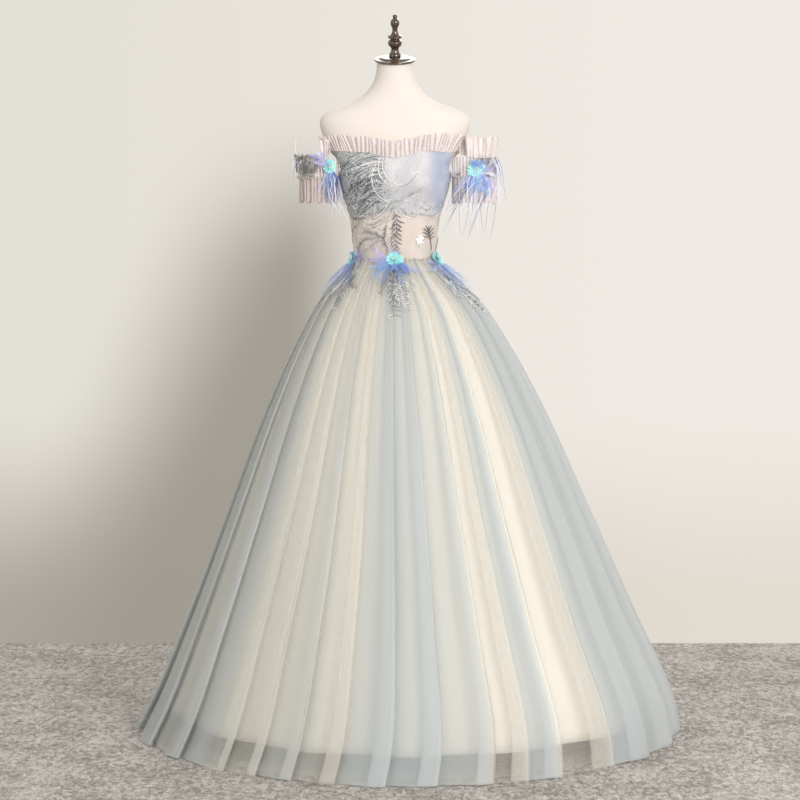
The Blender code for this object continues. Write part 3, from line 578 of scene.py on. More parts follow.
def form_and_stand():
    """Form skin from 170 rings of 144 points, turned wood on its neck, pole and round foot."""
    heights = np.unique(np.concatenate([np.linspace(FORM[0, 0], 1.40, 90),
                                        np.linspace(1.40, NECK_Z, 80)]))
    ang = np.radians(np.arange(144) * 2.5)
    rings = form_surface(ang[None, :], heights[:, None])
    ends = [rings[k].mean(0) + (rings[k] - rings[k].mean(0)) * share
            for k, share in ((0, 0.0), (0, 0.97), (-1, 0.97), (-1, 0.0))]
    rings = np.concatenate([[ends[0], ends[1]], rings, [ends[2], ends[3]]])
    piece("form_skin", rings, "jersey", "form_cover", ["form_torso"], wrap=True,
          cut=cut_map(rings, True))
    lean = np.array([(1, 0, 0), (0, math.cos(NECK_LEAN), -math.sin(NECK_LEAN)),
                     (0, math.sin(NECK_LEAN), math.cos(NECK_LEAN))])
    cap = [(0, 0), (0.0462, 0), (0.0478, 0.0012), (0.0480, 0.0024), (0.0472, 0.0040),
           (0.0440, 0.0050), (0.0385, 0.0056), (0.0368, 0.0066), (0.0352, 0.0080),
           (0.0320, 0.0090), (0.0240, 0.0100), (0.0180, 0.0105), (0, 0.0105)]
    knob = [(0, 0), (0.0139, 0), (0.0143, 0.0025), (0.0136, 0.0055), (0.0106, 0.0095),
            (0.0093, 0.0135), (0.0088, 0.0175), (0.0105, 0.0215), (0.0148, 0.0255),
            (0.0163, 0.0300), (0.0160, 0.0345), (0.0128, 0.0380), (0.0108, 0.0400),
            (0.0142, 0.0425), (0.0170, 0.0450), (0.0150, 0.0478), (0.0098, 0.0510),
            (0.0072, 0.0560), (0.0062, 0.0620), (0.0074, 0.0680), (0.0100, 0.0735),
            (0.0106, 0.0785), (0.0092, 0.0835), (0.0056, 0.0872), (0.0042, 0.0888),
            (0.0054, 0.0915), (0.0052, 0.0945), (0.0036, 0.0968), (0, 0.0975)]
    seat = 0.0105 + SEAM
    for name, rows, at, turn, paint, slot in (
            ("turned_neck_cap", cap, (0, 0, NECK_Z + SEAM), lean, "walnut", "dark_wood"),
            ("turned_finial", knob, (0, -seat * math.sin(NECK_LEAN),
                                     NECK_Z + SEAM + seat * math.cos(NECK_LEAN)),
             lean, "walnut", "dark_wood"),
            ("stand_foot", [(0, 0), (0.1650, 0), (0.1676, 0.0015), (0.1680, 0.005),
                            (0.1668, 0.0085), (0.160, 0.012), (0.118, 0.0165), (0.060, 0.022),
                            (0.034, 0.027), (0.024, 0.033), (0.0215, 0.040), (0.021, 0.046),
                            (0, 0.046)], (0, 0, 0), np.eye(3), "steel", "stand_metal"),
            ("stand_upright", [(0, 0.0463), (0.0130, 0.0463), (0.0135, 0.047), (0.0135, 0.40),
                               (0.0135, 0.8140), (0.0130, 0.8147), (0, 0.8147)],
             (0, 0, 0), np.eye(3), "steel", "stand_metal")):
        rows = np.array(rows)
        if slot == "dark_wood":
            rows = np.concatenate([rows[:2], curve_through(rows[1:-1], 5 * len(rows)), rows[-1:]])
        g = np.radians(np.arange(72) * 5.0)
        rings = np.stack([rows[:, :1] * np.cos(g), rows[:, :1] * np.sin(g),
                          rows[:, 1:] + 0 * g], -1) @ turn.T + np.array(at)
        node = {"turned_neck_cap": "neck_cap", "turned_finial": "finial",
                "stand_foot": "stand_base", "stand_upright": "stand_pole"}[name]
        made = piece(name, rings, paint, slot, [node], wrap=True)
        edge = made.modifiers.new("crisp", "EDGE_SPLIT")
        edge.split_angle = math.radians(50)


# ---------------------------------------------------------------- bodice

def bodice():
    """Lace bust and sheer midriff, three pieces each, with piping along their edges and seams."""
    for side, start, end, cols in (("front", -90, 90, 180), ("back_right", 90, 180, 90),
                                   ("back_left", 180, 270, 90)):
        trim = SEAM / 2 / 0.095
        a = np.linspace(math.radians(start) + trim, math.radians(end) - trim, cols + 1)
        for part, rows, wall in (("bust", 56, 0.0016), ("midriff", 44, 0.0)):
            t = np.linspace(0, 1, rows)[:, None]
            if part == "bust":
                low, high, far = bodice_under(a) + 0.0002, bodice_top(a), FORM_GAP + LACE
            else:
                low, high, far = np.full_like(a, WAIST_Z + SEAM), bodice_under(a), FORM_GAP + MESH
            z = low + t * (high - low)
            # fine drawn lines from the side seams, at most a third of a millimetre
            pull = 0.00030 * np.sin(34 * z * 3 + 2.2 * np.sin(2 * a)) * step(np.abs(a) / 1.4)
            points = moved_out(form_surface, a + 0 * z, z, far - 0.0002 + pull)
            x = points[..., 0]
            silver = 1 - step((x + 0.030 + 0.45 * (z - 1.275)) / 0.040)
            if side != "front":
                silver = np.full_like(x, 0.55) + 0.35 * np.sin(5 * a + 0 * z)
            made = piece(part + "_" + side + "_cloth", points,
                         "lace" if part == "bust" else "mesh",
                         "bust_lace" if part == "bust" else "nude_mesh",
                         [part + "_" + side], cut=cut_map(points), wall=wall,
                         marks={"silver": silver, "wing": step((np.abs(x) - 0.062) / 0.05)})
            wide, tall = 0.355 if side == "front" else 0.178, 0.150 if part == "bust" else 0.112
            min(0.94 * wide * tall, cloth_area(points))
    a = np.radians(np.linspace(-180, 180, 481))
    for name, height, far, radius in (
            ("neck_binding", bodice_top(a) - 0.0004, 0.0040, 0.0011),
            ("waist_piping", np.full_like(a, 1.1022), 0.0046, 0.0011)):
        path = moved_out(form_surface, a, height, np.full_like(a, far))
        out = moved_out(form_surface, a, height, np.full_like(a, 1.0)) - path
        piece(name, tubes(path[None], out[None], radius, 8), "ruffle", "ruffle_tulle", wrap=True,
              marks={"ridge": 0.7})
    cords, outs = [], []
    for angle, low in ((90, 1.104), (-90, 1.104), (178.6, 1.104), (181.4, 1.104)):
        turn = np.full(90, math.radians(angle))
        z = np.linspace(low, float(bodice_top(turn[:1])[0]) - 0.001, 90)
        path = moved_out(form_surface, turn, z, np.full(90, 0.0043))
        cords.append(path)
        outs.append(moved_out(form_surface, turn, z, np.ones(90)) - path)
    piece("seam_cords", tubes(np.array(cords), np.array(outs), 0.0007, 6), "thread",
          "silver_applique", wrap=True, marks={"tone": 0.75})


def button_loops():
    """Elastic loops of the closure: half rounds from the edge over each covered button."""
    paths, outs = [], []
    for k in range(BUTTONS):
        height = BUTTON_LOW + BUTTON_STEP * k
        patch = Patch(bodice_surface, 180, height)
        g = np.linspace(0, math.pi, 22)
        bow = 0.0066 * np.sin(g) ** 0.8
        thin = MESH - LACE if height < 1.2 else 0.0        # the midriff's mesh is thinner
        paths.append(patch(BUTTON_ROUND - 1.75 * bow + 0.0008, BUTTON_ROUND * np.cos(g),
                           thin + 0.0010 + 0.0012 * np.sin(g)))
        outs.append(patch(0.0 * g, 0.0 * g, 1.0 + 0 * g) - patch(0.0 * g, 0.0 * g, 0.0 * g))
    piece("button_loops", tubes(np.array(paths), np.array(outs), 0.0005, 6), "thread",
          "button_satin", wrap=True, marks={"tone": 0.6})
    for k in range(BUTTONS):
        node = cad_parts["button_%d" % (k + 1)]
        node.data.materials.clear()
        node.data.materials.append(PAINTS["button"])


# ---------------------------------------------------------------- ruffles and sleeves

def table_line(rows):
    """Height along a frill from a few rows of share and height."""
    rows = np.array(rows, float)
    return lambda share: np.interp(share, rows[:, 0], rows[:, 1])


def frill(name, node, path, low, high, pleats, base_fold, edge_fold, lean, paint, flat,
          wrap=False, sway=0.003, seed=0.0):
    """Fine knife pleats: level move out = lean t^1.2 - fold(t) ridge(share), ridge a rounded saw.

    Each pleat has its own depth, sideways sway and height at the free edge, from slow sines.
    """
    cols = pleats * 12 + (0 if wrap else 1)
    share = np.arange(cols) / (cols if wrap else cols - 1)
    t = np.linspace(0, 1, 18)[:, None]
    turn = (2 * math.pi * pleats * share + 1.1 * np.sin(2 * math.pi * 5 * share + seed)
            + 0.7 * np.sin(2 * math.pi * 13 * share + 3 * seed)
            + t * (1.3 * np.sin(2 * math.pi * 4 * share + 2 * seed)
                   + 0.8 * np.sin(2 * math.pi * 9 * share + seed)))
    ridge = np.arcsin(0.94 * np.cos(turn + 0.35 * np.sin(turn))) / math.asin(0.94)
    own = np.sin(share * 2 * math.pi * 7 + seed) + 0.6 * np.sin(share * 2 * math.pi * 17 + 2 * seed)
    at, normal = path(share, low)
    upper, _ = path(share, high)
    along = np.stack([-normal[:, 1], normal[:, 0]], 1)
    fold = base_fold + (edge_fold - base_fold) * t ** 1.4
    level = (at + (upper - at) * t[..., None]
             + normal * ((lean * t ** 1.2 * (1 + 0.25 * np.sin(share * 29 + 1))
                          - fold * ridge * (0.86 + 0.12 * own) - 0.0005)[..., None])
             + along * ((sway * t * (0.7 * own + 0.5 * np.sin(share * 40 + seed)))[..., None]))
    edge = 0.0016 * np.sin(share * 61) + 0.0018 * np.sin(share * 2 * math.pi * 13 + seed)
    z = low(share) + t * (high(share) - low(share) + edge)
    points = np.concatenate([level, z[..., None]], -1)
    # frayed free edge: short hairs that go on from the last rows
    rng = np.random.default_rng(int(seed * 10) + 3)
    tip = np.repeat(points[-1], 2, 0)
    ahead = unit(tip - np.repeat(points[-2], 2, 0))
    side = np.zeros_like(ahead)
    side[:, :2] = np.repeat(along, 2, 0)
    hair = rng.uniform(0.0015, 0.0052, (len(tip), 1))
    way = ahead + side * rng.uniform(-0.6, 0.6, (len(tip), 1))
    s = np.linspace(0, 1, 3)[None, :, None]
    line = tip[:, None] + side[:, None] * rng.uniform(-0.001, 0.001, (len(tip), 1, 1)) \
        + way[:, None] * (hair[:, None] * s - 0.0008)
    half = 0.00016 * (1 - 0.8 * s)
    piece(name + "_fringe", np.stack([line - side[:, None] * half, line + side[:, None] * half], 2),
          paint, "ruffle_tulle", marks={"ridge": rng.uniform(0, 1, (len(tip), 1, 1))})
    if high(0.5) < low(0.5):
        points, ridge = points[::-1], ridge[::-1]
    # ridge mark: painted shade in the pleats' valleys, painted light on their crests
    made = piece(name, points, paint, "ruffle_tulle", [node] if node else (), wrap=wrap,
                 cut=cut_map(points, wrap), marks={"ridge": 0.5 - 0.5 * ridge})
    min(flat[0] * flat[1], cloth_area(points, wrap))


def neck_ruffle():
    """Ruffle along the neckline: front and back, standing off the bodice."""
    def across(start, end, away, height):
        def path(share, level):
            a = np.radians(start + (end - start) * share)
            p, q = (moved_out(form_surface, a, h(share), np.full_like(a, away))[:, :2]
                    for h in (height, level))
            wider = np.hypot(*q.T) > np.hypot(*p.T)
            return with_normals(np.where(wider[:, None], q, p))
        return path
    low = table_line([(0, 1.350), (0.16, 1.350), (0.36, 1.346), (0.50, 1.333), (0.64, 1.352),
                      (0.82, 1.346), (1, 1.352)])
    high = table_line([(0, 1.380), (0.20, 1.387), (0.40, 1.379), (0.50, 1.368), (0.58, 1.380),
                       (0.74, 1.392), (0.90, 1.383), (1, 1.384)])
    frill("ruffle_front_cloth", "ruffle_front", across(-74, 74, 0.0086, low), low, high, 42,
          0.0016, 0.0026, 0.009, "ruffle", (0.90, 0.034), seed=0.4)
    low = table_line([(0, 1.352), (0.25, 1.333), (0.5, 1.328), (0.75, 1.333), (1, 1.350)])
    high = table_line([(0, 1.384), (0.25, 1.374), (0.5, 1.370), (0.75, 1.374), (1, 1.380)])
    frill("ruffle_back_cloth", "ruffle_back", across(106, 254, 0.0076, low), low, high, 36,
          0.0016, 0.0026, 0.009, "ruffle", (0.80, 0.042), seed=2.1)


def bridge(side):
    """Ruffle and pleated underarm piece that join the bodice's corner to the front of a sleeve.

    Both follow a smooth curve on plan from the form's side to the sleeve's tube.
    """
    sign = -1 if side == "left" else 1

    def on_form(angle, z, away):
        return moved_out(form_surface, math.radians(sign * angle), np.array(z), away)[:2]

    def on_tube(angle, away):
        return np.array(sleeve_ring(side, math.radians(sign * angle), away))
    stops = np.array([on_form(60, 1.362, 0.0100), on_form(70, 1.362, 0.0135),
                      on_tube(-14 if side == "right" else -24, 0.0085),
                      on_tube(6 if side == "right" else -6, 0.0070)])
    stops = stops[::sign]

    def path(share, level):
        line = curve_through(stops, 200)
        return with_normals(np.stack([np.interp(share, np.linspace(0, 1, 200), line[:, k])
                                      for k in (0, 1)], 1))
    low = [(0, 1.342), (1, 1.334)] if side == "right" else [(0, 1.326), (1, 1.344)]
    high = [(0, 1.386), (1, 1.381)] if side == "right" else [(0, 1.372), (1, 1.384)]
    frill("shoulder_ruffle_" + side, None, path, table_line(low), table_line(high), 9,
          0.0013, 0.0024, 0.003, "ruffle", (0.14, 0.046), seed=4.0 + sign)
    low, high = np.meshgrid(np.linspace(0, 1, 40), np.linspace(0, 1, 16))
    stops = np.array([on_form(76, 1.315, 0.0062), on_tube(-52, 0.0030), on_tube(-25, 0.0032),
                      on_tube(8, 0.0032)])[::sign]
    line = curve_through(stops, 40)
    points = np.concatenate([np.broadcast_to(line, (16, 40, 2)),
                             (1.291 + 0.045 * high)[..., None]], -1).copy()
    points[..., 1] -= 0.0006 * np.sin(30 * low + 5 * high) * np.sin(math.pi * high)
    ridge = np.sin(2 * math.pi * (9 * low + 0.25 * np.sin(6 * low)) + 0.6 * high)
    points[..., 1] -= 0.0010 * ridge
    # ridge mark: painted light where the pleats come forward, painted shade where they fall back
    made = piece("underarm_mesh_" + side, points, "ruffle", "ruffle_tulle",
                 cut=cut_map(points), marks={"ridge": 0.5 + 0.5 * ridge})
    min(0.085 * 0.046, cloth_area(points))


def sleeves():
    """Crumpled mesh band, pleated flounce below it and ruffle round the top, on each side."""
    for side, (cx, _, wide, deep, top, seam, hem) in SLEEVES.items():
        inward = 90 if side == "left" else -90
        a = np.radians(np.arange(240) * 1.5)
        turn = np.abs(np.degrees(np.angle(np.exp(1j * (a - math.radians(inward))))))
        high = 1.301 + (top - 1.301) * step((turn - 40) / 55)
        t = np.linspace(0, 1, 30)[:, None]
        z = seam + SEAM + t * (high - seam - SEAM)
        crush = (0.0007 * np.sin(41 * a + 6 * t + 2 * np.sin(3 * a))
                 + 0.0005 * np.sin(23 * a - 9 * t)) * np.sin(math.pi * t) ** 0.5
        puff = 0.0025 * np.sin(math.pi * t) + 0.0010 * np.sin(6 * a) + crush - 0.0004
        band = np.stack([*sleeve_ring(side, a, puff), z], -1)
        made = piece("sleeve_%s_band_cloth" % side, band, "band", "nude_mesh",
                     ["sleeve_%s_band" % side], wrap=True, cut=cut_map(band, True))
        min(0.95 * 0.36 * 0.056, 1.05 * cloth_area(band, True))

        def round_it(away, start=0.0, end=360.0):
            def path(share, level):
                g = np.radians(start + (end - start) * share)
                p = np.stack(sleeve_ring(side, g, away), 1)
                return p, unit(np.stack([np.sin(g) / wide, -np.cos(g) / deep], 1))
            return path
        lines = [table_line([(0, h), (1, h)]) for h in (hem, seam)]
        frill("sleeve_%s_flounce_cloth" % side, "sleeve_%s_flounce" % side, round_it(-0.0012),
              lines[1], lines[0], 27, 0.0011, 0.0021, 0.0,
              "flounce" if side == "left" else "ruffle", (0.46, 0.058), wrap=True,
              sway=0.0016, seed=1.0 + cx)
        low, high = (1.300, 1.340) if side == "left" else (1.334, 1.380)
        start, end, away = (-156, -2, 0.0055) if side == "left" else (2, 156, 0.0044)
        frill("sleeve_%s_ruffle_cloth" % side, "sleeve_%s_ruffle" % side,
              round_it(away, start, end), table_line([(0, low), (1, low)]),
              table_line([(0, high), (1, high)]), 17, 0.0014, 0.0024, 0.004,
              "band" if side == "left" else "ruffle", (0.26, 0.043), seed=3.0 + cx)
        bridge(side)
        for name, level, grow in (("sleeve_%s_seam_cord" % side, seam, 0.0018),
                                  ("sleeve_%s_elastic" % side, None, 0.0008)):
            g = np.radians(np.arange(241) * 1.5)
            turn = np.abs(np.degrees(np.angle(np.exp(1j * (g - math.radians(inward))))))
            z = seam + 0 * g if level else 1.300 + (top - 1.301) * step((turn - 40) / 55)
            path = np.stack([*sleeve_ring(side, g, grow), z], -1)
            out = np.stack([np.sin(g), -np.cos(g), 0 * g], -1)
            piece(name, tubes(path[None], out[None], 0.0009, 6), "ruffle", "ruffle_tulle",
                  wrap=True, marks={"ridge": 0.6})


# ---------------------------------------------------------------- skirt

def cloth_thickness(z):
    """Level thickness of a cloth wall on the skirt's slope."""
    e = 0.004
    high, low = np.minimum(z + e, WAIST_Z), np.maximum(z - e, 0)
    slope = (smooth(high, SKIRT)[..., 0] - smooth(low, SKIRT)[..., 0]) / (high - low)
    return CLOTH * np.hypot(1, slope)


def level_normal(a, z):
    """Level normal of the skirt's oval at an angle and height."""
    wide, deep, _ = np.moveaxis(smooth(z, SKIRT), -1, 0)
    return unit(np.stack([np.sin(a) / wide, -np.cos(a) / deep], -1))


def fold_sizes(z):
    """Gap between the layers of a pleat and the drop of its tuck at a height."""
    grow = 1 - z / WAIST_Z
    return 2 * cloth_thickness(z) + 0.0006 + 0.0075 * grow, 0.0008 + 0.0085 * grow


def outer_depth(z):
    gap, drop = fold_sizes(z)
    return 2 * gap + drop + cloth_thickness(z)


def under_back(z): return outer_depth(z) + 0.0012 + 0.003 * (1 - z / WAIST_Z)
def under_swing(z): return 0.0002 + 0.0085 * step((WAIST_Z - z) / WAIST_Z * 1.2)
def lining_swing(z): return 0.0001 + 0.0090 * step((WAIST_Z - z) / WAIST_Z * 1.2)


def lining_back(z):
    return (under_back(z) + 2 * under_swing(z) + cloth_thickness(z) + 0.0008
            + 0.002 * (1 - z / WAIST_Z))


def soft_folds(a, z):
    """Sum of the listed folds: height exp(-(angle off / width)^2), grown from its start."""
    deg = np.degrees(a)[..., None]
    off = (deg - FOLDS[:, 0] + 180) % 360 - 180
    wide = FOLDS[:, 1] * (1 + 0.5 * (1 - z[..., None] / WAIST_Z))
    grow = step((FOLDS[:, 3] - z[..., None]) / FOLDS[:, 3])
    return (FOLDS[:, 2] * np.exp(-(off / wide) ** 2) * grow).sum(-1)


def pleat_line():
    """Outer tulle's line round the skirt: angle, gap share, drop share, bulge ahead, per point.

    A face climbs from its valley to a crest, rounds it, runs back under by the lap, rounds again
    and comes forward to the next valley.
    """
    wide = np.diff(np.append(CRESTS, CRESTS[0] + 360))
    before = np.roll(wide, 1)
    rows = []
    for e, w0, w1 in zip(CRESTS, before, wide):
        lap = PLEAT_LAP * min(w0, w1)
        s = np.linspace(0, 1, 12)[1:]
        ease = (1 - s) ** 1.25
        rows.append(np.stack([e - 0.55 * w0 * (1 - s), 0.4 * ease, 0.2 * ease, 0 * s], 1))
        s = np.linspace(0, 1, 6)[1:]
        rows.append(np.stack([e + 0 * s, 0.5 - 0.5 * np.cos(math.pi * s), 0 * s,
                              np.sin(math.pi * s)], 1))
        s = np.linspace(0, 1, 6)[1:]
        rows.append(np.stack([e - lap * s, 1 + 0 * s, s, 0 * s], 1))
        s = np.linspace(0, 1, 6)[1:]
        rows.append(np.stack([e - lap + 0 * s, 1.5 - 0.5 * np.cos(math.pi * s), 1 + 0 * s,
                              -np.sin(math.pi * s)], 1))
        s = np.linspace(0, 1, 10)[1:]
        ease = step(s) * 0.6 + s * 0.4
        rows.append(np.stack([e - lap + (lap + 0.45 * w1) * s, 2 - 1.6 * ease, 1 - 0.8 * ease,
                              0 * s], 1))
    return np.concatenate(rows)


def blueness(deg):
    """Share of blue at an angle, from the table, round the back as well."""
    return np.interp((deg + 100) % 360 - 100, BLUENESS[:, 0], BLUENESS[:, 1])


def painted_fold_shade(deg, z):
    """Painted shade that gathers in the lower folds, from rows of angle and strength."""
    rows = np.array([(-180, 0.35), (-90, 0.40), (-55, 0.62), (-35, 0.58), (-26, 0.34), (-17, 0.62),
                     (-10, 0.34), (-2, 0.06), (5, 0.12), (10, 0.44), (15, 0.38), (20, 0.08),
                     (28, 0.42), (33, 0.04), (42, 0.00), (50, 0.36), (62, 0.42), (90, 0.45),
                     (180, 0.35)])
    return (0.72 * np.interp((deg + 180) % 360 - 180, rows[:, 0], rows[:, 1])
            * step((0.80 - z) / 0.8))


def outer_tulle():
    """Pleated outer layer, turned in over the waist seam.

    The skirt surface is moved level inward by gap and drop shares, and by the soft folds.
    """
    line = pleat_line()
    heights = np.concatenate([np.linspace(0.0012, 0.95, 44), np.linspace(0.965, 1.100, 16)])
    z = heights[:, None]
    gap, drop = fold_sizes(z)
    a = np.radians(line[:, 0])[None, :]
    grow = 1 - z / WAIST_Z
    # slow drift of whole folds, kept in order because it changes slowly with the angle
    drift = np.radians(0.55) * np.sin(3 * a + 4.1 * z + 0.8) * np.sin(math.pi * np.clip(grow, 0, 1))
    n = level_normal(a, z)
    ahead = np.stack([-n[..., 1], n[..., 0]], -1)
    depth = line[:, 1] * gap + line[:, 2] * drop
    free = np.clip(1 - depth / (2 * gap + drop), 0, 1) ** 0.8
    gathers = 0.0009 * np.sin(95 * a + 3 * np.sin(7 * a)) * step((z - 0.99) / 0.08)
    move = np.minimum(free * (soft_folds(a + 0 * z, z + 0 * a) + gathers), 0.004) - depth - 0.0004
    points = skirt_surface(a + drift, z)
    points[..., :2] += n * move[..., None] + ahead * (line[:, 3] * gap / 2)[..., None]
    # hem line dips and lifts a little with the folds
    points[..., 2] += 0.0035 * free * (0.6 + 0.4 * np.sin(11 * a)) * step((0.10 - z) / 0.10)
    # top edge rolls in over the seam to meet the bodice
    s = np.linspace(0, 1, 7)[1:, None]
    waist = moved_out(form_surface, a[0], np.full(len(line), 1.1015),
                      np.full(len(line), FORM_GAP + LACE + 0.0004))
    roll = points[-1] + (waist - points[-1]) * step(s)[..., None]
    roll[..., 2] = points[-1][:, 2] + 0.0042 * np.sin(math.pi * s * 0.62)
    points = np.concatenate([points, roll])
    z = np.concatenate([heights, np.full(6, 1.1)])[:, None]
    blue = blueness(line[:, 0]) * (1 - 0.15 * step((z - 0.70) / 0.35))
    made = piece("outer_tulle", points, "tulle", "blue_tulle",
                 ["tulle_front", "tulle_right", "tulle_back", "tulle_left"], wrap=True,
                 cut=cut_map(points, True),
                 marks={"blue": np.clip(blue, 0, 1.25),
                        # edge: painted shade, as dark lines along the fold edges, in the lower
                        # folds and over the laps under each fold
                        "edge": np.maximum(
                            np.maximum(np.clip(line[:, 3], 0, 1), line[:, 1] < 0.012)
                            * (0.55 + 0.45 * np.sin(5 * a[0] + 4 * z) ** 2) * step(4.6 - 3.6 * z),
                            painted_fold_shade(line[:, 0], z)
                            + 0.20 * np.clip(line[:, 1], 0, 1) ** 1.5 * step(4.6 - 3.6 * z))})
    area = cloth_area(points, True)
    return area


def under_layers():
    """Fluted under tulle and satin lining.

    Depth = back + swing (1 - cos(flutes a + 0.5 sin 3a)), and a small wave of its own.
    """
    sizes = []
    for name, node, paint, slot, flutes, back, swing, hem, cols, share, flat in (
            ("under_tulle_cloth", "under_tulle_", "under", "grey_tulle", UNDER_FLUTES,
             under_back, under_swing, UNDER_HEM, 640, 0.30, (4.6, 1.28)),
            ("satin_lining", "lining_", "satin", "ivory_satin", LINING_FLUTES,
             lining_back, lining_swing, LINING_HEM, 560, 0.25, (3.9, 1.22))):
        z = np.linspace(hem + 0.001, WAIST_Z - 0.0005, 52)[:, None]
        a = np.arange(cols)[None, :] * 2 * math.pi / cols
        n = level_normal(a, z)
        wave = 1 - np.cos(flutes * a + 0.5 * np.sin(3 * a))
        own = share * swing(z) * (np.sin(2.3 * flutes * a + 2 * np.sin(2 * a) + 3 * z)
                                  * np.sin(1.5 * a + 1) ** 2)
        level = back(z) + swing(z) * wave * 0.96 + np.abs(own) * 0.5 + 0.0004
        points = skirt_surface(a, z)
        points[..., :2] -= n * level[..., None]
        deg = np.degrees(a)
        made = piece(name, points, paint, slot,
                     [node + q for q in ("front", "right", "back", "left")], wrap=True,
                     cut=cut_map(points, True), wall=0.0007 if paint == "satin" else 0.0,
                     marks={"blue": 0.35 + 0.55 * blueness(deg) + 0 * z})
        area = cloth_area(points, True)
        sizes.append(area)
    return sizes


# ---------------------------------------------------------------- trims

def plumes(name, node, slot, place, quills, seed, barbs=22):
    """Feathers of a quill and two rows of barbs.

    Quill: u, v = root + length s (sin, cos)(heading + curl s), off = base + rise sin(1.6 s).
    Barb: leaves the quill at the splay angle, bends back along it, and tapers to a point.
    """
    rng = np.random.default_rng(seed)
    u0, v0, off, head, length, curl, rise, barb, tone = (
        np.array([q[k] for q in quills], float)[:, None] for k in range(9))
    head, curl = np.radians(head), np.radians(curl)

    def quill(s):
        turn = head + curl * s
        return (u0 + length * s * np.sin(turn), v0 + length * s * np.cos(turn),
                off + rise * np.sin(1.6 * s))
    s = np.linspace(0, 1, 12)[None, :]
    u, v, o = quill(s)
    line = place(u, v, o)
    edge = 0.00045 * (1 - 0.75 * s)
    turn = head + 2 * curl * s
    rim = [place(u + k * edge * np.cos(turn), v - k * edge * np.sin(turn), o) for k in (-1, 1)]
    shafts = np.stack(rim, 2)
    count = len(quills)
    s = np.linspace(0.06, 0.99, barbs)[None, :] + rng.uniform(-0.018, 0.018, (count, barbs))
    side = np.where(np.arange(2) == 0, -1.0, 1.0)[None, :, None]
    u, v, o = (k[:, None, :] for k in quill(s))
    turn = (head + 2 * curl * s)[:, None, :]
    grow = (np.sin(np.pi * np.clip(0.12 + 0.80 * s, 0, 1)) ** 0.6)[:, None, :]
    reach = barb[:, :, None] * grow * rng.uniform(0.65, 1.2, (count, 2, barbs))
    splay = np.radians(rng.uniform(30, 62, (count, 2, barbs))) * side
    lift = rng.uniform(-0.10, 0.55, (count, 2, barbs))
    t = np.linspace(0, 1, 5)[None, None, None, :]
    way = turn[..., None] + splay[..., None] * (1 - 0.55 * t)
    bu = u[..., None] + reach[..., None] * t * np.sin(way)
    bv = v[..., None] + reach[..., None] * t * np.cos(way)
    bo = np.maximum(o[..., None] + reach[..., None] * t * lift[..., None], 0.0006)
    half = 0.00027 * (1 - t) ** 0.7 + 0.00004
    blades = np.stack([place(bu + k * half * np.cos(way), bv - k * half * np.sin(way), bo)
                       for k in (-1, 1)], -2).reshape(-1, 5, 2, 3)
    shade = (tone[:, :, None, None] + rng.uniform(-0.10, 0.10, (count, 2, barbs, 1)) + 0.10 * t)
    shade = np.clip(np.repeat(shade.reshape(-1, 5, 1), 2, 2), 0, 1)
    piece(name + "_barbs", blades, "feather", slot, [node] if node else (), marks={"tone": shade})
    piece(name + "_quills", shafts, "feather", slot,
          marks={"tone": np.clip(tone[:, :, None] + 0.12, 0, 1)})
    return line


def wisps(name, roots, drops, seed, slot="blue_feather"):
    """Long loose strands: root + reach s out + drop (s, down) + a slow curl, thin to a point.

    drops rows: metres sideways, metres forward, metres down, curl metres.
    """
    rng = np.random.default_rng(seed)
    roots, drops = np.array(roots, float), np.array(drops, float)
    s = np.linspace(0, 1, 18)[None, :]
    bow = np.sin(math.pi * s * rng.uniform(0.8, 1.5, (len(roots), 1)) + rng.uniform(0, 1,
                 (len(roots), 1)))
    x = roots[:, :1] + drops[:, :1] * s ** 1.3 + drops[:, 3:] * bow * s
    y = roots[:, 1:2] + drops[:, 1:2] * np.sin(s * 1.7) + 0.3 * drops[:, 3:] * bow
    z = roots[:, 2:] + 0.10 * drops[:, 2:3] * np.sin(math.pi * s) - drops[:, 2:3] * s ** 1.25
    path = np.stack([x, y, z], -1)
    across = unit(np.cross(np.gradient(path, axis=1), (0.25, -1.0, 0.1)))
    half = (0.00055 * (1 - s) ** 0.5 + 0.00005)[..., None]
    points = np.stack([path - across * half, path + across * half], 2)
    tone = np.where(rng.uniform(0, 1, (len(roots), 1)) < 0.35, 0.05,
                    rng.uniform(0.88, 1.0, (len(roots), 1)))
    piece(name, points, "feather", slot, marks={"tone": (tone + 0 * s)[..., None]})


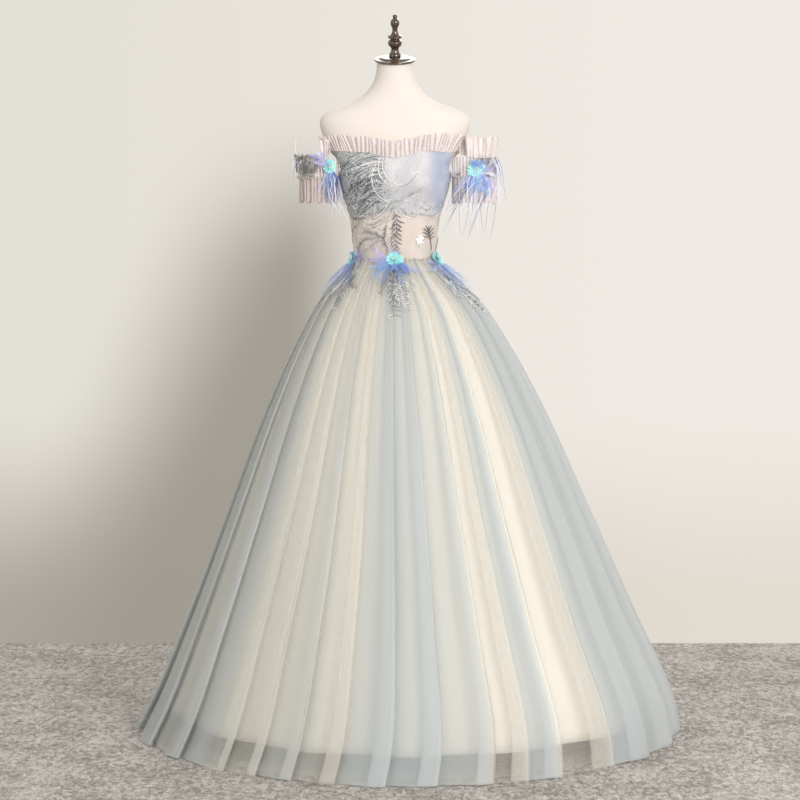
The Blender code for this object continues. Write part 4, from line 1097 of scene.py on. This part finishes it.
def petal_cluster(name, node, place, radius, base, seed):
    """Small cupped petals in five rings on the surface, steeper towards the middle, and beads.

    A petal is a teardrop: half width = w sin(pi t^0.8)^0.9, raised as t times the sine of its tilt,
    its rim turned up by the square of the share across.
    """
    rng = np.random.default_rng(seed)
    rings = [(1.00, 15, 0.10), (0.82, 13, 0.28), (0.60, 11, 0.48), (0.38, 8, 0.72), (0.16, 5, 1.0)]
    rows = []
    for share, count, tilt in rings:
        for k in range(count):
            rows.append((share, 2 * math.pi * (k + rng.uniform(-0.3, 0.3)) / count
                         + 3 * share, tilt * rng.uniform(0.7, 1.25), rng.uniform(0.8, 1.15)))
    share, phi, tilt, size = (np.array(rows)[:, k, None, None] for k in range(4))
    t = np.linspace(0, 1, 6)[None, :, None]
    c = np.linspace(-1, 1, 5)[None, None, :]
    long = 0.46 * radius * size
    wide = 0.21 * radius * size * np.sin(np.pi * np.clip(0.04 + 0.94 * t, 0, 1) ** 0.75) ** 0.85
    inner = np.maximum(share * radius - long, 0.02 * radius)
    r = inner + long * t * np.cos(tilt)
    u = r * np.sin(phi) + c * wide * np.cos(phi)
    v = r * np.cos(phi) - c * wide * np.sin(phi)
    off = (base + 0.0030 * (1 - share) + long * t * np.sin(tilt) * 0.75
           + 0.0016 * c ** 2 * t + 0.0006 * np.sin(9 * phi))
    tone = np.clip(0.5 + 0.5 * np.sin(3 * phi + 4 * share + seed), 0, 1)
    piece(name + "_petals", place(u, v, off), "petal", "aqua_petals", [node],
          marks={"edge": (np.clip(t * 0.7 + 0.5 * c ** 2 - 0.15, 0, 1) + 0 * u),
                 "tone": tone + 0 * u})
    count = 11
    g = np.arange(count) * 2.4
    beads(name + "_beads", place, 0.36 * radius * np.sqrt(np.arange(count) / count) * np.sin(g),
          0.36 * radius * np.sqrt(np.arange(count) / count) * np.cos(g),
          np.full(count, base + 0.0062), np.full(count, 0.0013), "aqua_petals")


def beads(name, place, u, v, off, size, slot="silver_applique", paint="bead"):
    """Round beads: rings at the angles of a half turn from pole to pole about each place."""
    u, v, off, size = np.broadcast_arrays(u, v, off, size)
    at = place(u, v, off)
    g = np.linspace(0, math.pi, 6)[None, :, None]
    h = (np.arange(8) * math.pi / 4)[None, None, :]
    ball = np.stack([np.sin(g) * np.cos(h), np.sin(g) * np.sin(h), -np.cos(g) + 0 * h], -1)
    piece(name, at[:, None, None, :] + ball * size[:, None, None, None], paint, slot, wrap=True,
          marks={"tone": 0.8})


class Stitches:
    """Raised embroidery on one patch: stems as cords and leaves as pointed blades with a ridge."""

    def __init__(self, place):
        self.place, self.leaves, self.cords, self.tones = place, [], [], [[], []]

    def leaf(self, u, v, way, long, wide, tone, off=0.0006, high=0.0013):
        """Blades: half width = wide sin(pi t), middle raised by high, tips on the cloth."""
        u, v, way, long, wide, tone = (np.atleast_1d(k).astype(float)[:, None, None]
                                       for k in np.broadcast_arrays(u, v, way, long, wide, tone))
        t = np.linspace(0, 1, 7)[None, :, None]
        c = np.array([-1, -0.5, 0, 0.5, 1])[None, None, :]
        half = wide * np.sin(np.pi * (0.03 + 0.94 * t)) ** 0.8
        bend = way + 0.35 * (t - 0.3)
        pu = u + long * t * np.sin(bend) + c * half * np.cos(bend)
        pv = v + long * t * np.cos(bend) - c * half * np.sin(bend)
        po = off + high * (1 - np.abs(c)) ** 0.7 * np.sin(np.pi * t) ** 0.5
        self.leaves.append(self.place(pu, pv, po))
        self.tones[0].append(tone - 0.18 * np.abs(c) + 0.1 * t + 0 * pu)

    def cord(self, rows, radius, tone, count=48, off=0.0008):
        """Cord along a smooth curve through rows of u and v, thinner to its ends."""
        line = curve_through(rows, count)
        s = np.linspace(0, 1, count)
        path = self.place(line[:, 0], line[:, 1], np.full(count, off))
        out = self.place(line[:, 0], line[:, 1], np.ones(count)) - path
        width = radius * (0.35 + 0.65 * np.sin(math.pi * np.clip(0.06 + 0.9 * s, 0, 1)) ** 0.5)
        ring = tubes(path, out, width, 6)
        ring = np.concatenate([ring, ring[:, :1]], 1)
        self.cords.append(ring)
        self.tones[1].append(np.full(ring.shape[:2], tone))
        return line

    def frond(self, rows, pairs, long, wide, splay, tone, radius=0.0006, start=0.08, taper=0.75,
              seed=0):
        """Stem with paired leaves; leaf length falls off towards the tip by taper."""
        rng = np.random.default_rng(seed)
        line = self.cord(rows, radius, tone * 0.85, 60)
        s = np.linspace(start, 0.98, pairs)
        k = (s * 59).astype(int)
        d = np.gradient(line, axis=0)[k]
        way = np.arctan2(d[:, 0], d[:, 1])
        size = (long * (1 - taper * s ** 1.6)
                * (0.55 + 0.45 * np.sin(np.pi * np.clip(s * 2, 0, 0.5))))
        for side in (-1, 1):
            self.leaf(line[k, 0], line[k, 1],
                      way + side * np.radians(splay) * rng.uniform(0.85, 1.12, pairs),
                      size * rng.uniform(0.85, 1.15, pairs), wide * size / long,
                      tone + rng.uniform(-0.25, 0.2, pairs))

    def sew(self, name, slot="silver_applique", stands_for=()):
        if self.leaves:
            piece(name + "_leaves", np.concatenate(self.leaves), "thread", slot, stands_for,
                  marks={"tone": np.clip(np.concatenate(self.tones[0]), 0, 1)})
        lengths = sorted({ring.shape[0] for ring in self.cords})
        for n, count in enumerate(lengths):
            rings = [r for r in self.cords if r.shape[0] == count]
            tones = [t for r, t in zip(self.cords, self.tones[1]) if r.shape[0] == count]
            piece("%s_cords_%d" % (name, n + 1), np.array(rings), "thread", slot,
                  marks={"tone": np.array(tones)})


def bust_embroidery():
    """Scrolls, fronds and leaves in silver thread over the bodice, from the picture."""
    place = Patch(bodice_surface, 0, 1.25)
    sew, rng = Stitches(place), np.random.default_rng(11)
    at = place.seen
    for rows in ([(387, 152), (383, 160), (383, 170), (389, 179), (399, 185), (407, 183),
                  (413, 177), (418, 173), (423, 176)],
                 [(384, 154), (379, 163), (379, 174), (386, 183), (393, 190), (398, 188)],
                 [(376, 165), (372, 176), (374, 188), (381, 197), (389, 202)],
                 [(391, 199), (386, 207), (381, 213), (374, 218)],
                 [(394, 201), (399, 209), (404, 215), (411, 218)],
                 [(366, 228), (374, 226), (382, 221), (388, 214), (391, 206)]):
        sew.cord(at(rows), 0.0011, 0.85, 60)
        sew.cord(at(rows) + (0.0022, 0.0010), 0.0006, 0.35, 60)
    for rows, pairs, long, splay, tone, taper in (
            ([(392, 200), (402, 199), (413, 194), (425, 187)], 15, 0.0165, 36, 0.75, 0.7),
            ([(392, 203), (394, 212), (397, 222)], 9, 0.0120, 42, 0.65, 0.6),
            ([(389, 204), (381, 209), (368, 214)], 10, 0.0120, 40, 0.60, 0.6),
            ([(387, 243), (377, 234), (364, 231)], 11, 0.0120, 40, 0.38, 0.5),
            ([(388, 250), (384, 238), (386, 226)], 10, 0.0100, 40, 0.30, 0.5),
            ([(371, 250), (372, 243), (382, 240)], 8, 0.0090, 40, 0.62, 0.5),
            ([(350, 214), (358, 219), (366, 217)], 8, 0.0090, 38, 0.25, 0.5),
            ([(355, 214), (352, 222), (356, 231)], 8, 0.0085, 38, 0.75, 0.5),
            ([(358, 250), (364, 240), (376, 238)], 9, 0.0100, 38, 0.30, 0.5),
            ([(352, 244), (353, 232), (360, 222)], 9, 0.0095, 36, 0.45, 0.5),
            ([(384, 218), (377, 223), (368, 224)], 8, 0.0090, 40, 0.55, 0.5),
            ([(401, 206), (407, 213), (416, 216)], 8, 0.0085, 40, 0.70, 0.5),
            ([(420, 206), (428, 209), (437, 206)], 8, 0.0075, 40, 0.60, 0.5),
            ([(436, 254), (443, 247), (447, 238)], 8, 0.0080, 36, 0.20, 0.5)):
        sew.frond(at(rows), pairs, long, 0.0012, splay, tone, 0.0005, taper=taper,
                  seed=int(rows[0][0]))
    sew.frond(at([(397, 212), (396.5, 230), (395, 249)]), 9, 0.0225, 0.0017, 50, 0.14, 0.0005,
              taper=0.15, seed=9)
    # dark leaves that open like a hand, and pale petals beside them
    for root, tip in (((431, 250), (428.5, 226)), ((429.5, 238), (423.6, 236.5)),
                      ((429.3, 236), (422.8, 232)), ((429, 234), (423.4, 228)),
                      ((428.8, 232), (425.8, 225.5)), ((428.8, 231), (431.6, 225.2)),
                      ((429, 234), (433.6, 227.6)), ((429.4, 237), (434.4, 231.6)),
                      ((429.8, 239.5), (434.6, 236))):
        middle = (0.45 * root[0] + 0.55 * tip[0], 0.45 * root[1] + 0.55 * tip[1] - 0.8)
        sew.cord(at([root, middle, tip]), 0.0011, 0.06, 24)
    base = at([(420, 240)])
    sew.leaf(base[0, 0], base[0, 1], np.radians(np.arange(7) * 51.0), 0.0165, 0.0034, 0.95)
    # long stitches that sweep from the upper middle down to the left side, like lying plumes
    for k in np.arange(0, 40, 0.62):
        x0, y0 = 386 - 0.12 * k + rng.uniform(-2, 2), 151 + 1.25 * k + rng.uniform(-2, 2)
        x1, y1 = 342 + 0.36 * k + rng.uniform(-1, 9), 159 + 1.42 * k + rng.uniform(-4, 4)
        bow = rng.uniform(-7, -1)
        tones = [0.05, 0.3, 0.8, 0.95] if k < 22 else [0.0, 0.1, 0.3, 0.8]
        sew.cord(at([(x0, y0), (0.7 * x0 + 0.3 * x1, 0.7 * y0 + 0.3 * y1 + bow),
                     (0.3 * x0 + 0.7 * x1, 0.3 * y0 + 0.7 * y1 + bow * 0.7), (x1, y1)]),
                 rng.uniform(0.0004, 0.0008), rng.choice(tones), 24)
    for x, y, size, turn in ((363, 166, 8, 0.2), (352, 176, 7, 0.7), (374, 180, 8, 1.0),
                             (360, 192, 8, 1.2), (371, 203, 7, 0.9), (352, 201, 6, 1.4)):
        for n, (share, tone) in enumerate(((1.0, 0.95), (0.62, 0.15), (0.3, 0.8))):
            g = np.linspace(0, 2 * math.pi, 11)
            long, wide = share * size * np.cos(g), share * size * 0.42 * np.sin(g) * np.sin(g / 2)
            sew.cord(at(np.stack([x + long * math.cos(turn) - wide * math.sin(turn),
                                  y + long * math.sin(turn) * 0.8 + wide * math.cos(turn)], 1)),
                     0.0006, tone, 36)
    for k in range(16):
        x, y = 345 + rng.uniform(0, 34), 162 + rng.uniform(0, 46)
        turn = rng.uniform(1.6, 2.9)
        dx, dy = 11 * math.cos(turn), 11 * math.sin(turn)
        sew.frond(at([(x, y), (x + dx * 0.6, y + dy * 0.5), (x + dx, y + dy)]), 7, 0.0085, 0.0008,
                  32, rng.choice([0.1, 0.35, 0.8, 0.95]), 0.0004, seed=20 + k)
    spots = at(np.stack([rng.uniform(342, 386, 170), rng.uniform(158, 213, 170)], 1))
    sew.leaf(spots[:, 0], spots[:, 1], rng.normal(-0.9, 0.5, 170), rng.uniform(0.004, 0.009, 170),
             0.0008, rng.uniform(0.05, 1.0, 170))
    spots = at(np.stack([rng.uniform(350, 401, 170), rng.uniform(213, 250, 170)], 1))
    sew.leaf(spots[:, 0], spots[:, 1], rng.normal(0.3, 0.9, 170), rng.uniform(0.004, 0.009, 170),
             0.0006, rng.choice([0.15, 0.4, 0.6, 0.9], 170))
    spots = at(np.stack([rng.uniform(396, 446, 46), rng.uniform(198, 214, 46)], 1))
    sew.leaf(spots[:, 0], spots[:, 1], rng.normal(1.2, 0.8, 46), rng.uniform(0.003, 0.008, 46),
             0.0006, rng.choice([0.4, 0.8, 0.95], 46))
    # scalloped lower edge of the lace, a row of small leaves each side of a cord
    a = np.radians(np.linspace(-178, 178, 240))
    u, v = (a - place.a) * place.wide, (place.z - bodice_under(a)) * place.tall
    sew.cord(np.stack([u, v], 1)[::3], 0.0005, 0.6, 240, 0.0004)
    k = np.arange(3, 237, 3)
    sew.leaf(u[k], v[k], 0.5 * np.sin(k * 1.7), 0.0060 + 0.0025 * np.sin(k * 0.9), 0.0011,
             0.55 + 0.35 * np.sin(k * 2.1))
    # a smaller spray on each side and two on the back, for the sides that the camera misses
    for angle, way in ((-112, 1), (112, -1), (150, 1), (-150, -1)):
        c = math.radians(angle) * place.wide
        for n, (du, dv, size) in enumerate(((0.030, 0.050, 0.013), (0.006, 0.058, 0.012),
                                            (-0.020, 0.040, 0.010), (0.022, -0.020, 0.010))):
            sew.frond(np.array([(c, 0.030), (c + way * du * 0.4, 0.030 + dv * 0.55),
                                (c + way * du, 0.030 + dv)]), 9, size, 0.0012, 38,
                      0.45 + 0.12 * n, seed=50 + n)
    sew.sew("bodice_embroidery")
    spots = at([(440, 240), (444, 243), (441, 246), (446, 248), (443, 251), (448, 253), (438, 249),
                (436, 244), (445, 256), (432, 248), (429, 251)])
    beads("bodice_beads", place, spots[:, 0], spots[:, 1], 0.0012, 0.0011)
    spots = at(np.stack([rng.uniform(344, 400, 60), rng.uniform(160, 246, 60)], 1))
    beads("bodice_small_beads", place, spots[:, 0], spots[:, 1], 0.0012, 0.0007)


def skirt_sprays():
    """Silver leaf sprays that hang from the waist clusters over the tulle."""
    for name, angle, z, stems in (
            ("left", -57, 1.078, [((0, -0.010), (0.006, 0.045), (0.018, 0.105)),
                                  ((-0.004, 0.0), (-0.002, 0.035), (-0.010, 0.070)),
                                  ((0.006, 0.0), (0.018, 0.030), (0.034, 0.052))]),
            ("centre", -1, 1.082, [((-0.004, -0.008), (-0.008, 0.06), (-0.004, 0.142)),
                                   ((0.004, -0.004), (0.010, 0.045), (0.012, 0.105)),
                                   ((-0.006, 0.0), (-0.020, 0.040), (-0.026, 0.078)),
                                   ((0.000, 0.040), (0.000, 0.080), (0.014, 0.120))]),
            ("right", 55, 1.078, [((0, -0.010), (0.004, 0.05), (0.030, 0.132)),
                                  ((-0.004, 0.0), (-0.012, 0.040), (-0.008, 0.085)),
                                  ((0.004, 0.0), (0.022, 0.045), (0.050, 0.104)),
                                  ((0.002, 0.030), (0.010, 0.070), (0.010, 0.120))])):
        sew, rng = Stitches(Patch(skirt_surface, angle, z)), np.random.default_rng(len(name))
        drift = {"left": -0.4, "centre": 0.0, "right": 0.35}[name]
        for _ in range(22):
            u, long = rng.uniform(-0.024, 0.024), rng.uniform(0.05, 0.125)
            lean, curl = drift * long + rng.uniform(-0.02, 0.02), rng.uniform(-0.008, 0.008)
            sew.cord(np.array([(u, 0.0), (u + lean * 0.35 + curl, long * 0.4),
                               (u + lean * 0.8 - curl, long * 0.8), (u + lean + curl, long)]),
                     0.00028, rng.choice([0.05, 0.9, 0.95]), 24, 0.0012)
        for n, rows in enumerate(stems):
            sew.frond(np.array(rows), 10, 0.0180 - 0.001 * n, 0.0010, 38,
                      (0.14, 0.66, 0.25, 0.85)[n], 0.0005, taper=0.45, seed=70 + n)
            end, up = np.array(rows[-1]), np.array(rows[-2])
            way = (end - up) / np.linalg.norm(end - up)
            g = np.linspace(0, 4.4, 9)[:, None]
            turn = np.array([[way[1], -way[0]]]) * (1 if n % 2 else -1)
            curl = end + (0.0075, 0.0045, 0.0055, 0.0035)[n] * (
                np.sin(g) * way + (1 - np.cos(g)) * turn) * (1 - 0.12 * g)
            sew.cord(curl, 0.0005, (0.95, 0.3, 0.9, 0.5)[n], 30)
        sew.sew("spray_%s_work" % name, stands_for=["spray_" + name])


def quill_fan(rng, count, spread, heads, lengths, curl, rise, barb, tones, v0=0.002, off=0.0022):
    """Rows for plumes(): roots over spread metres and headings fanned in order."""
    k = (np.arange(count) + 0.5) / count
    return [((k[i] - 0.5) * spread, v0, off + rng.uniform(0, 0.0016),
             heads[0] + (heads[1] - heads[0]) * k[i] + rng.uniform(-7, 7),
             rng.uniform(*lengths), curl * rng.uniform(0.4, 1.3) * (1 if i % 2 else -1),
             rise * rng.uniform(0.6, 1.3), barb * rng.uniform(0.8, 1.25), rng.uniform(*tones))
            for i in range(count)]


def trims():
    """Feather tufts and petal clusters at the waist and on the sleeves."""
    rng = np.random.default_rng(5)
    for name, angle, z, radius, fans in (
            ("left", -66, 1.0975, 0.0185, (
                (16, 0.022, (-46, 10), (0.050, 0.102), 14, 0.006, 0.010, (0.10, 0.60)),
                (7, 0.020, (132, 235), (0.016, 0.032), 20, 0.004, 0.008, (0.45, 0.85)),
                (6, 0.016, (96, 130), (0.030, 0.052), 26, 0.005, 0.008, (0.66, 0.82)))),
            ("centre", 0, 1.1020, 0.0205, (
                (8, 0.020, (-64, -14), (0.036, 0.066), 16, 0.006, 0.010, (0.20, 0.60)),
                (6, 0.016, (22, 44), (0.030, 0.052), 10, 0.006, 0.008, (0.08, 0.42)),
                (5, 0.030, (-12, 18), (0.024, 0.040), 10, 0.004, 0.008, (0.40, 0.65)),
                (8, 0.026, (140, 222), (0.014, 0.030), 20, 0.003, 0.008, (0.55, 0.90)),
                (8, 0.016, (-116, -84), (0.040, 0.070), 30, 0.004, 0.007, (0.68, 0.84)))),
            ("right", 66, 1.0955, 0.0205, (
                (14, 0.024, (-8, 46), (0.050, 0.096), 14, 0.006, 0.010, (0.15, 0.70)),
                (7, 0.022, (128, 232), (0.014, 0.030), 20, 0.004, 0.008, (0.50, 0.90)),
                (8, 0.018, (-74, -14), (0.034, 0.070), 20, 0.004, 0.008, (0.50, 0.95))))):
        place = Patch(skirt_surface, angle, z)
        quills = [q for fan in fans for q in quill_fan(rng, *fan)]
        plumes("waist_feathers_" + name, "feathers_waist_" + name, "blue_feather", place, quills,
               30 + len(name), 24)
        petal_cluster("waist_flower_" + name, "flower_waist_" + name,
                      Patch(skirt_surface, angle, 1.101), radius,
                      0.0060 if name == "centre" else 0.0050, 2 + len(name))
    for side, angle, z, radius, fans in (
            ("left", 30, 1.315, 0.0175, (
                (6, 0.010, (-14, 2), (0.060, 0.092), 8, 0.004, 0.006, (0.45, 0.60)),
                (12, 0.020, (-148, -104), (0.030, 0.046), 18, 0.006, 0.010, (0.68, 0.90)),
                (10, 0.012, (48, 16), (0.040, 0.098), 22, 0.003, 0.007, (0.02, 0.45)))),
            ("right", 6, 1.306, 0.0215, (
                (13, 0.030, (-14, 30), (0.040, 0.062), 22, 0.008, 0.009, (0.18, 0.80)),
                (12, 0.034, (118, 228), (0.016, 0.032), 24, 0.005, 0.009, (0.30, 0.70)),
                (8, 0.014, (70, 112), (0.030, 0.052), 34, 0.009, 0.007, (0.60, 0.98))))):
        place = Patch(sleeve_surface(side), angle, z)
        quills = [q for fan in fans for q in quill_fan(rng, *fan)]
        plumes("sleeve_feathers_" + side, "feathers_sleeve_" + side, "blue_feather", place, quills,
               60 + len(side), 22)
        petal_cluster("sleeve_flower_" + side, "flower_sleeve_" + side, place, radius,
                      0.0044 if side == "left" else 0.0035, 9 + len(side))
        right = side == "right"
        count = 56 if right else 26
        a = np.radians(rng.uniform(-25, 70, count) if right else rng.uniform(20, 68, count))
        z0 = rng.uniform(1.255, 1.30, count) if right else rng.uniform(1.265, 1.300, count)
        roots = np.stack([*sleeve_ring(side, a, 0.006, 0.008), z0], 1)
        drops = np.stack([rng.uniform(-0.066, 0.004, count) if right else
                          rng.uniform(-0.006, 0.018, count), rng.uniform(-0.016, -0.002, count),
                          rng.uniform(0.045, 0.125 if right else 0.085, count),
                          rng.uniform(-0.016, 0.016, count)], 1)
        wisps("sleeve_wisps_" + side, roots, drops, 80 + len(side))
        # small curls of silver thread on the outer half of the mesh
        curls = Stitches(Patch(sleeve_surface(side), -38 if side == "left" else 62, 1.300))
        for u, v in zip(rng.uniform(-0.028, 0.026, 54), rng.uniform(-0.030, 0.016, 54)):
            g = np.linspace(0, 4.6, 7) + rng.uniform(0, 6)
            size = rng.uniform(0.0020, 0.0055) * (1 - 0.09 * (g - g[0]))
            curls.cord(np.stack([u + size * np.sin(g), v + size * np.cos(g)], 1), 0.00035,
                       rng.choice([0.02, 0.15, 0.5, 0.95]), 20, 0.0046)
        curls.sew("sleeve_curls_" + side)
        # loose arcs on the outer side, over the ruffle and down past the hem
        count = 16 if right else 12
        a = np.radians(rng.uniform(40, 84, count)) * (1 if right else -1)
        z0 = rng.uniform(1.318, 1.338, count)
        roots = np.stack([*sleeve_ring(side, a, 0.007, 0.008), z0], 1)
        sign = 1 if right else -1
        drops = np.stack([sign * rng.uniform(0.004, 0.026 if right else 0.014, count),
                          rng.uniform(-0.010, 0.004, count),
                          rng.uniform(0.04, 0.105, count) if right else
                          rng.uniform(-0.050, 0.05, count),
                          sign * rng.uniform(0.004, 0.010, count)], 1)
        wisps("sleeve_arcs_" + side, roots, drops, 90 + len(side))


# ---------------------------------------------------------------- studio

def studio():
    """Pale floor, surroundings with painted shade darker to the left and low down and a painted
    shadow of the gown, a large key light and a weak fill.
    """
    x, y = np.meshgrid(np.linspace(-7.5, 7.5, 24), np.linspace(-8.0, FLOOR_BACK, 20))
    mesh = bpy.data.meshes.new("studio_floor")
    rows, cols = x.shape
    r, c = np.meshgrid(np.arange(rows - 1), np.arange(cols - 1), indexing="ij")
    k = (r * cols + c).ravel()
    mesh.from_pydata(np.stack([x, y, 0 * x - 0.0005], -1).reshape(-1, 3).tolist(), [],
                     np.stack([k, k + 1, k + cols + 1, k + cols], 1).tolist())
    mesh.materials.append(PAINTS["floor"])
    floor = bpy.data.objects.new("studio_floor", mesh)
    bpy.context.scene.collection.objects.link(floor)
    for name, at, aim, size, power, tone in (
            ("key_light", (2.2, -4.15, 2.5), (0.0, 0.0, 0.75), 2.0, 180, (1.0, 0.975, 0.95)),
            ("fill_light", (-3.2, -3.2, 1.5), (0.0, 0.0, 0.7), 2.4, 33, (0.94, 0.96, 1.0)),
            ("back_light", (0.6, 3.4, 3.2), (0.0, 0.0, 0.9), 2.4, 44, (1.0, 0.99, 0.97))):
        lamp = bpy.data.lights.new(name, "AREA")
        lamp.shape, lamp.size, lamp.energy, lamp.color = "DISK", size, power, tone
        made = bpy.data.objects.new(name, lamp)
        bpy.context.scene.collection.objects.link(made)
        made.location = at
        away = np.array(at) - np.array(aim)
        made.rotation_euler = (math.acos(away[2] / np.linalg.norm(away)), 0,
                               math.atan2(away[1], away[0]) + math.pi / 2)
    world = bpy.data.worlds.new("studio_surroundings")
    bpy.context.scene.world = world
    world.use_nodes = True
    nodes = Nodes(world.node_tree)
    way = nodes.add("ShaderNodeTexCoord", out="Generated")
    x, y, z = (nodes.add("ShaderNodeSeparateXYZ", inputs={0: way}, out=axis) for axis in "XYZ")
    # painted shade in the surroundings: darker to the left, away from the light on the right, and
    # darker low down by the floor line
    side = nodes.ease(x, -0.17, 0.13)
    low = nodes.blend(side, (0.39, 0.352, 0.312), (0.69, 0.645, 0.575))
    high = nodes.blend(side, (0.70, 0.675, 0.605), (0.79, 0.745, 0.70))
    wall = nodes.blend(nodes.ease(z, -0.175, -0.09), low, high)
    # soft shadow of the gown to its left, narrow at the shoulder and wide by the floor
    shade = (nodes.ease(x - z * 0.447, -0.095, -0.020) * nodes.ease(y, 0.0, 0.2)
             * nodes.ease(z * -1.0, -0.030, 0.045) * nodes.ease(x * -1.0, 0.005, 0.045))
    wall = nodes.blend(shade * 0.95, wall, (0.32, 0.295, 0.255))
    tone = nodes.blend(nodes.ease(z, -0.192, -0.184), (0.42, 0.405, 0.39), wall)
    sky = world.node_tree.nodes["Background"]
    nodes.feed(sky.inputs["Color"], tone)
    sky.inputs["Strength"].default_value = 1.1


form_and_stand()
bodice()
button_loops()
neck_ruffle()
sleeves()
outer_tulle()
under_layers()
bust_embroidery()
skirt_sprays()
trims()
studio()

scene = bpy.context.scene
scene.view_settings.view_transform = "Standard"
scene.cycles.transparent_max_bounces = 48
